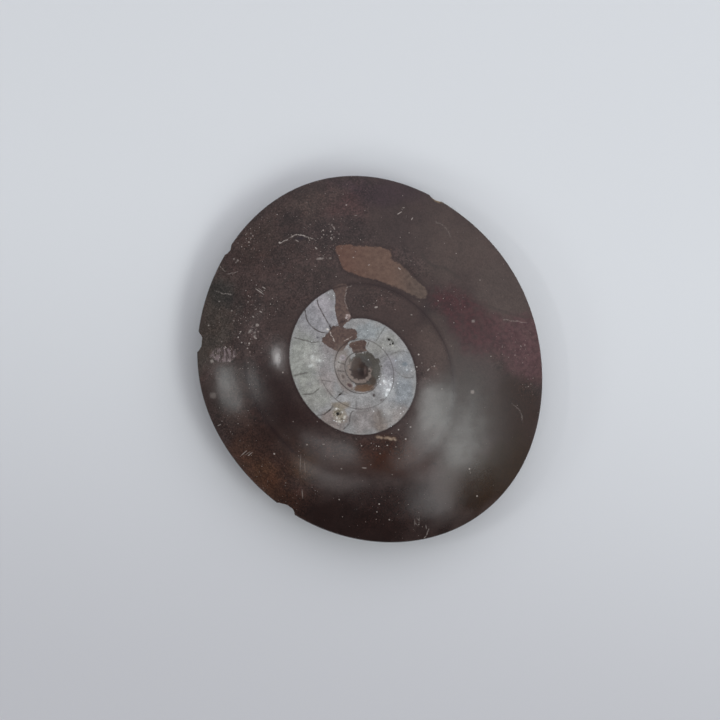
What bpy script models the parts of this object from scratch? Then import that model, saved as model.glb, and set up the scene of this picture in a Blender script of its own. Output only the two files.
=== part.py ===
"""A polished ammonite: one lens of dark limestone with a flat foot to lie on and the coil sunk in its domed top.

Everything is laid out in millimetres around the umbilicus, the centre of the coil. A bearing is in degrees,
counterclockwise from +X. A turn is in degrees too, clockwise from +Y, the way the shell grew: it goes on
counting past 360 as the coil opens.
"""

import math
from typing import NamedTuple

import bmesh
import bpy
from mathutils import Matrix, Vector

NAME = "ammonite"
MM = 0.001


class Wave(NamedTuple):
    """A swelling of the outline that repeats `count` times around the stone."""

    count: int
    size: float
    crest: float  # bearing of one of its crests


class Chip(NamedTuple):
    """An egg-shaped bite out of the rim."""

    bearing: float
    length: float  # along the rim
    depth: float
    height: float  # of its middle above the foot
    turned: float  # counterclockwise from lying along the rim


class Pit(NamedTuple):
    """A small hollow that opens in the polished top."""

    radius: float  # from the umbilicus
    bearing: float
    length: float
    width: float
    depth: float
    heading: float  # bearing of its long side


# Outline seen from above, as a radius from the umbilicus
MEAN_RADIUS = 40.0
OUTLINE = (
    Wave(1, 3.4, 40.0),
    Wave(2, 2.1, -61.0),
    Wave(3, 0.56, -37.0),
    Wave(4, 0.2, 20.0),
    Wave(5, 0.17, 31.0),
)

# Section: a flat foot, a flank that curves up to a narrow round rim, then a dome
RIM_HEIGHT = 8.5  # where the dome would meet the outline if the rim weren't rounded
RIM_ROUND = 0.6  # radius of its rounding
DOME_HEIGHT = 9.5
DOME_POWER = 2.8
FOOT_SHARE = 0.6  # of the outline's radius
FLANK_POWER = 2.2

# The coil's outer edge, a spiral that grows by the same share each turn, is a little oval and sits a little off
# the umbilicus
SPIRAL_START = 11.06
SPIRAL_GROWTH = 1.668
SPIRAL_OVAL = 0.06
SPIRAL_OVAL_TURN = -29.3
SPIRAL_OFFSET = 0.025
SPIRAL_OFFSET_TURN = 41.5
GROOVE_FADES_FROM = 262.0
GROOVE_FADES_TO = 350.0

# Relief of the top: the last whorl swells inside its groove, and the umbilicus is a shallow bowl with a pit
SWELL_HEIGHT = 1.6
SWELL_CREST = 0.3  # of the groove's radius; it is level inside that
SWELL_POWER = 1.6
BOWL_DEPTH = 2.0
BOWL_RADIUS = 5.5
PIT_DEPTH = 0.7
PIT_RADIUS = 1.3

CHIP_RADIAL = 2.0
CHIP_TALL = 5.5
CHIPS = (
    Chip(bearing=170.3, length=4.8, depth=1.15, height=7.5, turned=0.0),
    Chip(bearing=241.0, length=5.4, depth=1.0, height=7.3, turned=16.0),
    Chip(bearing=66.0, length=3.2, depth=0.5, height=8.0, turned=0.0),
    Chip(bearing=138.2, length=2.8, depth=0.45, height=8.0, turned=-12.0),
)
PITS = (
    Pit(radius=10.9, bearing=242.0, length=2.4, width=1.7, depth=0.7, heading=30.0),
    Pit(radius=9.3, bearing=44.0, length=2.6, width=1.3, depth=0.5, heading=-50.0),
    Pit(radius=6.9, bearing=229.0, length=2.8, width=0.8, depth=0.4, heading=-20.0),
)

# Mesh: rings follow the coil's groove, and are closest where the section turns fastest
SEGMENTS = 112
COIL_RINGS = 12
SHOULDER_RINGS = 13
RIM_RINGS = 3
FLANK_RINGS = 9
FOOT_RINGS = 2
RIM_START = COIL_RINGS + SHOULDER_RINGS
FLANK_START = RIM_START + RIM_RINGS
RINGS = FLANK_START + FLANK_RINGS + FOOT_RINGS
CUTTER_SEGMENTS = 14
CUTTER_RINGS = 8

STONE_COLOUR = (0.045, 0.027, 0.023, 1.0)
STONE_ROUGHNESS = 0.22


def smooth(share):
    """Goes from 0 to 1 with no kink as `share` does."""
    share = min(max(share, 0.0), 1.0)
    return share * share * (3 - 2 * share)


def outline(bearing):
    """Radius of the stone's edge."""
    waves = (w.size * math.cos(w.count * math.radians(bearing - w.crest)) for w in OUTLINE)
    return MEAN_RADIUS + sum(waves)


def spiral(turn):
    """Radius of the coil's outer edge."""
    oval = SPIRAL_OVAL * math.cos(2 * math.radians(turn - SPIRAL_OVAL_TURN))
    offset = SPIRAL_OFFSET * math.cos(math.radians(turn - SPIRAL_OFFSET_TURN))
    return SPIRAL_START * SPIRAL_GROWTH ** (turn / 360) * math.exp(oval + offset)


def groove(bearing):
    """Radius of the groove around the last whorl, brought back in where the whorl ends so that it closes."""
    turn = (90 - bearing) % 360
    back = smooth((turn - GROOVE_FADES_FROM) / (GROOVE_FADES_TO - GROOVE_FADES_FROM))
    outer = spiral(turn + 360)
    return outer + (spiral(turn) - outer) * back


def top_height(radius, bearing):
    """Height of the polished top above the foot."""
    dome = DOME_HEIGHT * (1 - (radius / outline(bearing)) ** DOME_POWER)
    past_crest = (radius / groove(bearing) - SWELL_CREST) / (1 - SWELL_CREST)
    swell = SWELL_HEIGHT * (1 - min(max(past_crest, 0.0), 1.0) ** SWELL_POWER)
    bowl = BOWL_DEPTH * math.exp(-((radius / BOWL_RADIUS) ** 2))
    pit = PIT_DEPTH * math.exp(-((radius / PIT_RADIUS) ** 2))
    return RIM_HEIGHT + dome + swell - bowl - pit


def surface_point(ring, bearing):
    """Point of the stone's surface on one ring, counted from the middle of the top to the middle of the foot."""
    edge = outline(bearing)
    dome_tilt = math.atan(DOME_HEIGHT * DOME_POWER / edge)
    rim_start = edge - RIM_ROUND * (1 - math.sin(dome_tilt))
    rim_middle = top_height(rim_start, bearing) - RIM_ROUND * math.cos(dome_tilt)
    if ring <= COIL_RINGS:
        radius = groove(bearing) * (ring / COIL_RINGS) ** 1.25
        height = top_height(radius, bearing)
    elif ring <= RIM_START:
        share = math.sin(math.pi / 2 * (ring - COIL_RINGS) / SHOULDER_RINGS)
        radius = groove(bearing) + (rim_start - groove(bearing)) * share
        height = top_height(radius, bearing)
    elif ring <= FLANK_START:
        tilt = dome_tilt + (math.pi / 2 - dome_tilt) * (ring - RIM_START) / RIM_RINGS
        radius = edge - RIM_ROUND * (1 - math.sin(tilt))
        height = rim_middle + RIM_ROUND * math.cos(tilt)
    else:
        share = math.cos(math.pi / 2 * min((ring - FLANK_START) / FLANK_RINGS, 1.0))
        radius = edge * (FOOT_SHARE + (1 - FOOT_SHARE) * share)
        height = rim_middle * (1 - math.sqrt(1 - share**FLANK_POWER))
        past_flank = max(ring - FLANK_START - FLANK_RINGS, 0)
        radius *= 1 - past_flank / FOOT_RINGS
    angle = math.radians(bearing)
    return Vector((radius * math.cos(angle), radius * math.sin(angle), height)) * MM


def link(item, collection):
    """Makes a mesh object and puts it in a collection."""
    collection.objects.link(item)
    return item


def new_collection(name):
    """Makes a collection in the scene."""
    collection = bpy.data.collections.new(name)
    bpy.context.scene.collection.children.link(collection)
    return collection


def stone_material():
    """Polished dark brown limestone."""
    material = bpy.data.materials.new("polished_stone")
    material.use_nodes = True
    shader = material.node_tree.nodes["Principled BSDF"]
    shader.inputs["Base Color"].default_value = STONE_COLOUR
    shader.inputs["Roughness"].default_value = STONE_ROUGHNESS
    shader.inputs["Metallic"].default_value = 0.0
    return material


def make_stone(collection):
    """The whole stone before it was chipped: a sphere whose rings are drawn out to the section."""
    shape = bmesh.new()
    bmesh.ops.create_uvsphere(shape, u_segments=SEGMENTS, v_segments=RINGS, radius=1.0)
    for vertex in shape.verts:
        x, y, z = vertex.co
        ring = round(math.acos(min(max(z, -1.0), 1.0)) / math.pi * RINGS)
        vertex.co = surface_point(ring, math.degrees(math.atan2(y, x)))
    mesh = bpy.data.meshes.new(NAME)
    shape.to_mesh(mesh)
    shape.free()
    mesh.shade_smooth()
    mesh.set_sharp_from_angle(angle=math.radians(40))
    mesh.materials.append(stone_material())
    return link(bpy.data.objects.new(NAME, mesh), collection)


def make_cutter(name, centre, half_sizes, heading, collection):
    """An egg of stone to take away, with its long side along a bearing."""
    shape = bmesh.new()
    bmesh.ops.create_uvsphere(
        shape, u_segments=CUTTER_SEGMENTS, v_segments=CUTTER_RINGS, radius=1.0
    )
    bmesh.ops.scale(shape, vec=Vector(half_sizes) * MM, verts=shape.verts)
    mesh = bpy.data.meshes.new(name)
    shape.to_mesh(mesh)
    shape.free()
    cutter = link(bpy.data.objects.new(name, mesh), collection)
    cutter.matrix_world = Matrix.Translation(centre) @ Matrix.Rotation(math.radians(heading), 4, "Z")
    cutter.hide_render = True
    cutter.display_type = "WIRE"
    return cutter


def chip_cutter(number, chip, collection):
    """The egg that leaves one chip in the rim."""
    reach = outline(chip.bearing) + CHIP_RADIAL - chip.depth
    across = (CHIP_RADIAL - chip.depth) / CHIP_RADIAL
    half_length = chip.length / 2 / math.sqrt(1 - across**2)
    angle = math.radians(chip.bearing)
    centre = Vector((reach * math.cos(angle), reach * math.sin(angle), chip.height)) * MM
    half_sizes = (CHIP_RADIAL, half_length, CHIP_TALL)
    heading = chip.bearing + chip.turned
    return make_cutter(f"chip_cutter_{number}", centre, half_sizes, heading, collection)


def pit_cutter(number, pit, collection):
    """The egg that leaves one pit in the top, its middle level with the polish."""
    angle = math.radians(pit.bearing)
    height = top_height(pit.radius, pit.bearing)
    centre = Vector((pit.radius * math.cos(angle), pit.radius * math.sin(angle), height)) * MM
    half_sizes = (pit.length / 2, pit.width / 2, pit.depth)
    return make_cutter(f"pit_cutter_{number}", centre, half_sizes, pit.heading, collection)


def cut(stone, cutter):
    """Takes a cutter's shape out of the stone."""
    modifier = stone.modifiers.new(cutter.name, "BOOLEAN")
    modifier.operation = "DIFFERENCE"
    modifier.solver = "EXACT"
    modifier.object = cutter


def to_middle(stone):
    """How far to move the stone so that its box is centred over the origin."""
    xs = [vertex.co.x for vertex in stone.data.vertices]
    ys = [vertex.co.y for vertex in stone.data.vertices]
    return Vector((-(min(xs) + max(xs)) / 2, -(min(ys) + max(ys)) / 2, 0.0))


def main():
    """Builds the stone, chips and pits it, and stands it over the origin."""
    for item in list(bpy.data.objects):
        bpy.data.objects.remove(item, do_unlink=True)
    parts = new_collection(NAME)
    cutters = new_collection("cutters")
    stone = make_stone(parts)
    tools = [chip_cutter(n, chip, cutters) for n, chip in enumerate(CHIPS)]
    tools += [pit_cutter(n, pit, cutters) for n, pit in enumerate(PITS)]
    for tool in tools:
        cut(stone, tool)
    shift = to_middle(stone)
    for item in [stone, *tools]:
        item.location += shift


main()
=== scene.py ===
"""Finish of the polished ammonite: a lens of dark limestone, with the shell's white coil cut open in its top.

Lengths are in millimetres around the umbilicus, the middle of the coil, unless a name says otherwise. A
bearing is in degrees, counterclockwise from +X. A turn is in degrees, clockwise from +Y, the way the shell
grew: it goes on counting past 360 as the coil opens.
"""

import logging
import math
from collections.abc import Sequence
from dataclasses import dataclass, field
from enum import Enum

import bmesh
import bpy
import numpy as np
from mathutils import Matrix, Vector, noise


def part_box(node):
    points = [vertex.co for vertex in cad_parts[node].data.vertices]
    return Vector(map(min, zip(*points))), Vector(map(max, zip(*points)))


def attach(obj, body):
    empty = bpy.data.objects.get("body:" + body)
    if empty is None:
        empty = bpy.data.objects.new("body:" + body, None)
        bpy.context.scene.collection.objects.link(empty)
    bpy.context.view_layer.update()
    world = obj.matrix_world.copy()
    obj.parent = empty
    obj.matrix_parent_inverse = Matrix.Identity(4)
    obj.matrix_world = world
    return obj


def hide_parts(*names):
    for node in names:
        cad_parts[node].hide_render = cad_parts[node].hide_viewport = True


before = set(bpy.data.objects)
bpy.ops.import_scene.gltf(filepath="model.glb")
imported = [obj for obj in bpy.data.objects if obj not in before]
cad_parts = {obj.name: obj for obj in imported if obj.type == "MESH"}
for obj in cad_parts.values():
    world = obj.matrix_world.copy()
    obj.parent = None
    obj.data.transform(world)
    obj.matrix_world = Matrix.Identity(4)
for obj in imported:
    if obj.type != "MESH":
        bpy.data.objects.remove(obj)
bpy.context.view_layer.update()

NODE = "ammonite"
BODY = "root"
MM = 0.001

Field = np.ndarray  # one value for each vertex
Spot = tuple[float, float]
Socket = bpy.types.NodeSocket
Value = Socket | float | tuple[float, ...]

log = logging.getLogger("ammonite")


def smooth(low: float, high: float, value: Field) -> Field:
    """Goes from 0 at `low` to 1 at `high` with no kink.

    Args:
        low: Where it leaves 0.
        high: Where it reaches 1.
        value: What is measured against the two.

    Returns:
        A share from 0 to 1 for each value.
    """
    share = np.clip((value - low) / (high - low), 0.0, 1.0)
    return share * share * (3 - 2 * share)


def linear(colour: str) -> np.ndarray:
    """Turns a colour's six hex digits into linear red, green and blue.

    Args:
        colour: The colour as a screen shows it, such as "5a4a46".

    Returns:
        Three shares of light.
    """
    screen = np.array([int(colour[at : at + 2], 16) / 255 for at in (0, 2, 4)])
    return np.where(screen <= 0.04045, screen / 12.92, ((screen + 0.055) / 1.055) ** 2.4)


def rough_field(x: Field, y: Field, z: Field, size: float, seed: float) -> Field:
    """Soft noise over the vertices.

    Args:
        x: First coordinate.
        y: Second coordinate.
        z: Third coordinate.
        size: How wide one lump of it is, in millimetres.
        seed: Moves to another part of the noise.

    Returns:
        Values from about -1 to 1.
    """
    places = np.stack([x, y, z], axis=1) / size + seed
    return np.array([noise.noise(Vector(place)) for place in places])


def turned(x: Field, y: Field, middle: Spot, heading: float) -> tuple[Field, Field]:
    """Measures points from a middle, along a heading and square to it.

    Args:
        x: First coordinate.
        y: Second coordinate.
        middle: The point to measure from.
        heading: Bearing to measure along.

    Returns:
        Distance along the heading, and distance to the left of it.
    """
    cosine, sine = math.cos(math.radians(heading)), math.sin(math.radians(heading))
    across, up = x - middle[0], y - middle[1]
    return across * cosine + up * sine, up * cosine - across * sine


def coordinates(mesh: bpy.types.Mesh) -> np.ndarray:
    """Reads where a mesh's vertices are.

    Args:
        mesh: The mesh.

    Returns:
        Three coordinates for each vertex.
    """
    places = np.empty(len(mesh.vertices) * 3)
    mesh.vertices.foreach_get("co", places)
    return places.reshape(-1, 3)


# ---------------------------------------------------------------------------------------------- shape


@dataclass(frozen=True)
class Wave:
    """A swelling of the outline that repeats `count` times around the stone."""

    count: int
    size: float
    crest: float  # bearing of one of its crests


@dataclass(frozen=True)
class Outline:
    """The stone's edge seen from above."""

    mean: float = 40.0
    waves: tuple[Wave, ...] = (
        Wave(1, 3.4, 40.0),
        Wave(2, 2.1, -61.0),
        Wave(3, 0.56, -37.0),
        Wave(4, 0.2, 20.0),
        Wave(5, 0.17, 31.0),
    )

    def radius(self, bearing: Field) -> Field:
        """Radius of the edge.

        Args:
            bearing: Where on the edge.

        Returns:
            Distance from the umbilicus.
        """
        return self.mean + sum(w.size * np.cos(w.count * np.radians(bearing - w.crest)) for w in self.waves)

    def umbilicus(self) -> Vector:
        """Where the umbilicus stands when the whole outline is centred.

        Returns:
            Its place on the floor, in metres.
        """
        bearing = np.arange(0.0, 360.0, 0.25)
        radius = self.radius(bearing)
        x, y = radius * np.cos(np.radians(bearing)), radius * np.sin(np.radians(bearing))
        return Vector((-(x.min() + x.max()) / 2, -(y.min() + y.max()) / 2, 0.0)) * MM


@dataclass(frozen=True)
class Coil:
    """The shell's spiral: a little oval, and a little off the umbilicus."""

    start: float = 11.06
    growth: float = 1.668
    oval: float = 0.06
    oval_turn: float = -29.3
    offset: float = 0.025
    offset_turn: float = 41.5
    fades_from: float = 262.0
    fades_to: float = 350.0

    def lean(self, turn: Field) -> Field:
        """How far the spiral stands out from an even one, as a logarithm.

        Args:
            turn: Where on the spiral.

        Returns:
            The logarithm of the share by which it is wider.
        """
        oval = self.oval * np.cos(2 * np.radians(turn - self.oval_turn))
        return oval + self.offset * np.cos(np.radians(turn - self.offset_turn))

    def radius(self, turn: Field) -> Field:
        """Radius of the shell's outer wall.

        Args:
            turn: Where on the spiral.

        Returns:
            Distance from the umbilicus.
        """
        return self.start * self.growth ** (turn / 360) * np.exp(self.lean(turn))

    def groove(self, bearing: Field) -> Field:
        """Radius of the groove round the last whorl, brought back in where that whorl ends so that it closes.

        Args:
            bearing: Where around the stone.

        Returns:
            Distance from the umbilicus.
        """
        turn = (90 - bearing) % 360
        outer = self.radius(turn + 360)
        return outer + (self.radius(turn) - outer) * smooth(self.fades_from, self.fades_to, turn)

    def walls_out(self, radius: Field, turn: Field) -> Field:
        """Counts shell walls outward from the one that starts the last whorl.

        Args:
            radius: Distance from the umbilicus.
            turn: Where around it, from 0 to 360.

        Returns:
            A number that is whole on each wall and grows by one from each to the next.
        """
        even = np.log(np.maximum(radius, 0.05) / self.start) - self.lean(turn)
        return even / math.log(self.growth) - turn / 360


@dataclass(frozen=True)
class Chip:
    """An egg-shaped bite out of the rim."""

    bearing: float
    length: float  # along the rim
    depth: float
    height: float  # of its middle above the foot
    turned: float = 0.0  # counterclockwise from lying along the rim


@dataclass(frozen=True)
class Vug:
    """A small hollow lined with crystals in the polished top."""

    radius: float  # from the umbilicus
    bearing: float
    length: float
    width: float
    depth: float
    heading: float  # bearing of its long side

    def rim(self, x: Field, y: Field) -> Field:
        """How far out of the hollow each point is.

        Args:
            x: First coordinate.
            y: Second coordinate.

        Returns:
            0 in its middle, 1 on its rim.
        """
        angle = math.radians(self.bearing)
        middle = (self.radius * math.cos(angle), self.radius * math.sin(angle))
        along, aside = turned(x, y, middle, self.heading)
        return np.hypot(along / (self.length / 2), aside / (self.width / 2))


@dataclass(frozen=True)
class Section:
    """The stone cut through: a flat foot, a flank up to a narrow rim, and a dome with the coil in it."""

    outline: Outline = Outline()
    coil: Coil = Coil()
    rim_height: float = 8.5
    rim_round: float = 0.6  # radius of the rim's rounding
    dome_height: float = 9.5
    dome_power: float = 2.8
    foot_share: float = 0.6
    flank_power: float = 2.2
    swell_height: float = 1.6
    swell_crest: float = 0.3
    swell_power: float = 1.6
    groove_softness: float = 0.12
    bowl_depth: float = 2.0
    bowl_radius: float = 5.5
    pit_depth: float = 0.7
    pit_radius: float = 1.3

    def top(self, radius: Field, bearing: Field) -> Field:
        """Height of the polished top.

        Args:
            radius: Distance from the umbilicus.
            bearing: Where around it.

        Returns:
            Height above the foot.
        """
        dome = self.dome_height * (1 - (radius / self.outline.radius(bearing)) ** self.dome_power)
        past_crest = (radius / self.coil.groove(bearing) - self.swell_crest) / (1 - self.swell_crest)
        fall = 1 - np.maximum(past_crest, 0.0) ** self.swell_power
        swell = self.swell_height * (fall + np.hypot(fall, self.groove_softness)) / 2
        bowl = self.bowl_depth * np.exp(-((radius / self.bowl_radius) ** 2))
        pit = self.pit_depth * np.exp(-((radius / self.pit_radius) ** 2))
        return self.rim_height + dome + swell - bowl - pit


# ------------------------------------------------------------------------------------------- markings


@dataclass(frozen=True)
class Stain:
    """A soft oval of another colour."""

    x: float
    y: float
    long: float  # half its length
    wide: float  # half its width
    heading: float
    colour: str
    cover: float = 1.0
    softness: float = 0.5  # share of its size over which it fades

    def covers(self, x: Field, y: Field, wander: Field) -> Field:
        """How much of the stain lies on each point.

        Args:
            x: First coordinate.
            y: Second coordinate.
            wander: Noise that makes its edge uneven.

        Returns:
            A share from 0 to 1.
        """
        along, aside = turned(x, y, (self.x, self.y), self.heading)
        out = np.hypot(along / self.long, aside / self.wide) + wander
        return self.cover * (1 - smooth(1 - self.softness, 1 + self.softness, out))


@dataclass(frozen=True)
class Line:
    """A thin line drawn through points."""

    points: tuple[Spot, ...]
    width: float = 0.3
    ink: float = 1.0

    def measure(self, x: Field, y: Field) -> tuple[Field, Field, Field]:
        """Measures each point against the line.

        Args:
            x: First coordinate.
            y: Second coordinate.

        Returns:
            Distance to the line, the same with a sign for its side, and how far past its ends a point is.
        """
        spots = curve_through(self.points, closed=False)
        nearest = np.full(len(x), np.inf)
        side, past = np.zeros(len(x)), np.zeros(len(x))
        last = len(spots) - 2
        for n, (start, end) in enumerate(zip(spots[:-1], spots[1:])):
            run = end - start
            length = np.hypot(*run)
            share = ((x - start[0]) * run[0] + (y - start[1]) * run[1]) / length**2
            held = np.clip(share, 0.0, 1.0)
            distance = np.hypot(x - start[0] - held * run[0], y - start[1] - held * run[1])
            signed = (run[0] * (y - start[1]) - run[1] * (x - start[0])) / length
            over = np.where(n == 0, -share, -1.0), np.where(n == last, share - 1, -1.0)
            closer = distance < nearest
            nearest = np.where(closer, distance, nearest)
            side = np.where(closer, signed, side)
            past = np.where(closer, np.maximum(*over) * length, past)
        return nearest, side, past


@dataclass(frozen=True)
class Fleck:
    """A small light spot or straight scratch."""

    x: float
    y: float
    long: float = 0.17  # half its length
    wide: float = 0.15  # half its width
    heading: float = 0.0
    ink: float = 1.0


@dataclass(frozen=True)
class Patch:
    """A closed shape of another stone, given by points around it."""

    points: tuple[Spot, ...]

    def outside(self, x: Field, y: Field) -> Field:
        """How far outside the shape each point is.

        Args:
            x: First coordinate.
            y: Second coordinate.

        Returns:
            Distance to its edge, below 0 inside it.
        """
        return outside_of(curve_through(self.points, closed=True), x, y)


def curve_through(points: Sequence[Spot], closed: bool, steps: int = 6) -> np.ndarray:
    """Joins points by a smooth curve.

    Args:
        points: Where it passes.
        closed: Whether it comes back to its start.
        steps: Short straight pieces between each two points.

    Returns:
        Points along the curve.
    """
    given = np.array(points, float)
    if closed:
        ring = np.concatenate([given[-1:], given, given[:2]])
    else:
        ring = np.concatenate([2 * given[:1] - given[1:2], given, 2 * given[-1:] - given[-2:-1]])
    spots = []
    for a, b, c, d in zip(ring, ring[1:], ring[2:], ring[3:]):
        for t in np.arange(steps) / steps:
            bend = (2 * a - 5 * b + 4 * c - d) * t**2 + (3 * b - a - 3 * c + d) * t**3
            spots.append(b + 0.5 * ((c - a) * t + bend))
    return np.array(spots if closed else [*spots, given[-1]])


def outside_of(ring: np.ndarray, x: Field, y: Field) -> Field:
    """Measures points against a closed ring of straight pieces.

    Args:
        ring: The ring's corners in order.
        x: First coordinate.
        y: Second coordinate.

    Returns:
        Distance to the ring, below 0 inside it.
    """
    nearest = np.full(len(x), np.inf)
    inside = np.zeros(len(x), bool)
    for start, end in zip(ring, np.roll(ring, -1, axis=0)):
        run = end - start
        share = np.clip(((x - start[0]) * run[0] + (y - start[1]) * run[1]) / (run @ run), 0.0, 1.0)
        distance = np.hypot(x - start[0] - share * run[0], y - start[1] - share * run[1])
        nearest = np.minimum(nearest, distance)
        if run[1] != 0:
            crosses = (start[1] > y) != (end[1] > y)
            inside ^= crosses & (x < start[0] + (y - start[1]) * run[0] / run[1])
    return np.where(inside, -nearest, nearest)


@dataclass(frozen=True)
class LineLayer:
    """Thin lines that share one mesh attribute: signed distance in line widths, then ink."""

    name: str
    lines: tuple[Line, ...]
    reach: float = 0.8  # how far from a line its ink is kept

    def values(self, x: Field, y: Field) -> np.ndarray:
        """Works out the attribute.

        Args:
            x: First coordinate.
            y: Second coordinate.

        Returns:
            Three values a vertex, the last unused.
        """
        nearest, second = np.full(len(x), np.inf), np.full(len(x), np.inf)
        side, ink = np.zeros(len(x)), np.zeros(len(x))
        for line in self.lines:
            distance, signed, past = line.measure(x, y)
            closer = distance < nearest
            second = np.where(closer, nearest, np.minimum(second, distance))
            nearest = np.where(closer, distance, nearest)
            side = np.where(closer, signed / line.width, side)
            ink = np.where(closer, line.ink * (1 - smooth(-0.1, 0.35, past)), ink)
        near = 1 - smooth(self.reach, 1.6 * self.reach, nearest)
        apart = smooth(0.05, 0.5, second - nearest)
        return np.stack([side, ink * near * apart, np.zeros(len(x))], axis=1)


@dataclass(frozen=True)
class FleckLayer:
    """Flecks that share one mesh attribute: place along and across the nearest in half sizes, then ink."""

    name: str
    flecks: tuple[Fleck, ...]
    reach: float = 0.9

    def values(self, x: Field, y: Field) -> np.ndarray:
        """Works out the attribute.

        Args:
            x: First coordinate.
            y: Second coordinate.

        Returns:
            Three values a vertex.
        """
        nearest, second = np.full(len(x), np.inf), np.full(len(x), np.inf)
        found = np.zeros((len(x), 3))
        for fleck in self.flecks:
            along, aside = turned(x, y, (fleck.x, fleck.y), fleck.heading)
            past = np.maximum(np.abs(along) - fleck.long, 0.0)
            distance = np.hypot(past, aside)
            closer = distance < nearest
            second = np.where(closer, nearest, np.minimum(second, distance))
            nearest = np.where(closer, distance, nearest)
            here = np.stack([along / fleck.long, aside / fleck.wide, np.full(len(x), fleck.ink)], axis=1)
            found = np.where(closer[:, None], here, found)
        near = 1 - smooth(self.reach, 1.6 * self.reach, nearest)
        found[:, 2] *= near * smooth(0.15, 0.8, second - nearest)
        return found


class Wash(Enum):
    """What stains are laid on: a whole ground colour, or nothing, so that they lie over what is there."""

    GROUND = "ground"
    GLAZE = "glaze"


@dataclass(frozen=True)
class StainLayer:
    """Stains laid in order, as one colour attribute; a glaze's colour is weighed by its cover."""

    name: str
    wash: Wash
    ground: str
    stains: tuple[Stain, ...]
    wobble: float  # how uneven the stains' edges are
    lump: float  # how wide a bay in such an edge is

    def values(self, x: Field, y: Field, z: Field) -> np.ndarray:
        """Works out the attribute.

        Args:
            x: First coordinate.
            y: Second coordinate.
            z: Height.

        Returns:
            Red, green, blue and cover for each vertex.
        """
        bays = rough_field(x, y, z, self.lump, seed=7.3)
        nicks = rough_field(x, y, z, self.lump / 3, seed=3.1)
        wander = self.wobble * bays + 0.5 * self.wobble * nicks
        mixed = np.zeros((len(x), 4))
        if self.wash is Wash.GROUND:
            mixed[:] = [*linear(self.ground), 1.0]
        for stain in self.stains:
            cover = stain.covers(x, y, wander)[:, None]
            mixed = mixed * (1 - cover) + np.array([*linear(stain.colour), 1.0]) * cover
        return mixed


# Rock colours, from the middle of the stone outward
ROCK = StainLayer(
    "rock",
    Wash.GROUND,
    "40322f",
    (
        Stain(2.1, 40.0, 10.0, 4.0, 0.0, "37272c", 0.8),
        Stain(-4.0, 37.0, 6.0, 3.0, 0.0, "4a3331", 0.7),
        Stain(-14.0, 36.0, 9.0, 3.0, 25.0, "4b3c37", 0.8),
        Stain(-17.0, 33.0, 4.0, 3.0, 30.0, "322625", 0.7),
        Stain(-4.6, 32.0, 6.0, 3.0, 0.0, "342827", 0.7),
        Stain(-33.5, 11.0, 4.5, 11.0, -12.0, "4c443e", 0.85),
        Stain(-31.0, 17.0, 3.6, 4.0, 50.0, "2a2b29", 0.6),
        Stain(-23.0, 29.0, 6.0, 4.0, 40.0, "43342f", 0.7),
        Stain(11.0, 31.0, 6.0, 6.0, 0.0, "3b2e2c", 0.8),
        Stain(22.0, 28.0, 9.0, 7.0, -35.0, "4b3d38", 0.9),
        Stain(33.0, 17.0, 9.0, 7.0, -60.0, "4c3f3a", 0.9),
        Stain(9.0, 15.0, 11.0, 6.0, -40.0, "40302c", 0.8),
        Stain(18.0, 12.0, 4.0, 5.0, 0.0, "2d2020", 0.8),
        Stain(17.0, 4.0, 4.0, 6.0, 0.0, "51413b", 0.7),
        Stain(23.0, -8.0, 6.0, 12.0, 0.0, "3c332f", 0.8),
        Stain(35.0, -11.0, 6.0, 12.0, 10.0, "2a170d", 0.9),
        Stain(27.0, -25.0, 9.0, 6.0, 45.0, "2a1808", 0.95),
        Stain(32.0, -22.0, 4.0, 8.0, -35.0, "2c1c0b", 0.7),
        Stain(6.5, -19.5, 8.0, 4.6, 0.0, "351809", 0.95),
        Stain(2.0, -17.0, 5.0, 1.6, 0.0, "34201a", 0.8),
        Stain(-5.0, -20.0, 6.0, 4.0, 0.0, "3a2823", 0.7),
        Stain(-13.6, -11.5, 6.0, 3.6, -40.0, "2f1e1c", 0.85),
        Stain(-20.0, -18.0, 7.0, 11.0, 40.0, "38251f", 0.9),
        Stain(-22.0, -24.0, 3.0, 7.0, 42.0, "543a2c", 0.85, 0.8),
        Stain(-15.0, -30.0, 4.0, 7.0, 60.0, "40261a", 0.7, 0.8),
        Stain(-13.0, -22.0, 2.5, 3.0, 0.0, "452d14", 0.45, 0.9),
        Stain(-20.0, -6.0, 5.0, 9.0, 20.0, "2c1d1c", 0.75),
        Stain(1.0, -33.5, 18.0, 8.0, 0.0, "241512", 0.97),
        Stain(3.0, -28.0, 9.0, 3.0, 10.0, "281815", 0.85),
        Stain(-30.0, -4.0, 4.5, 7.0, 0.0, "3f332f", 0.5),
        Stain(17.4, 38.7, 0.9, 0.6, -35.0, "a08a6a", 0.9, 0.5),
    ),
    wobble=0.5,
    lump=7.0,
)

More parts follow.
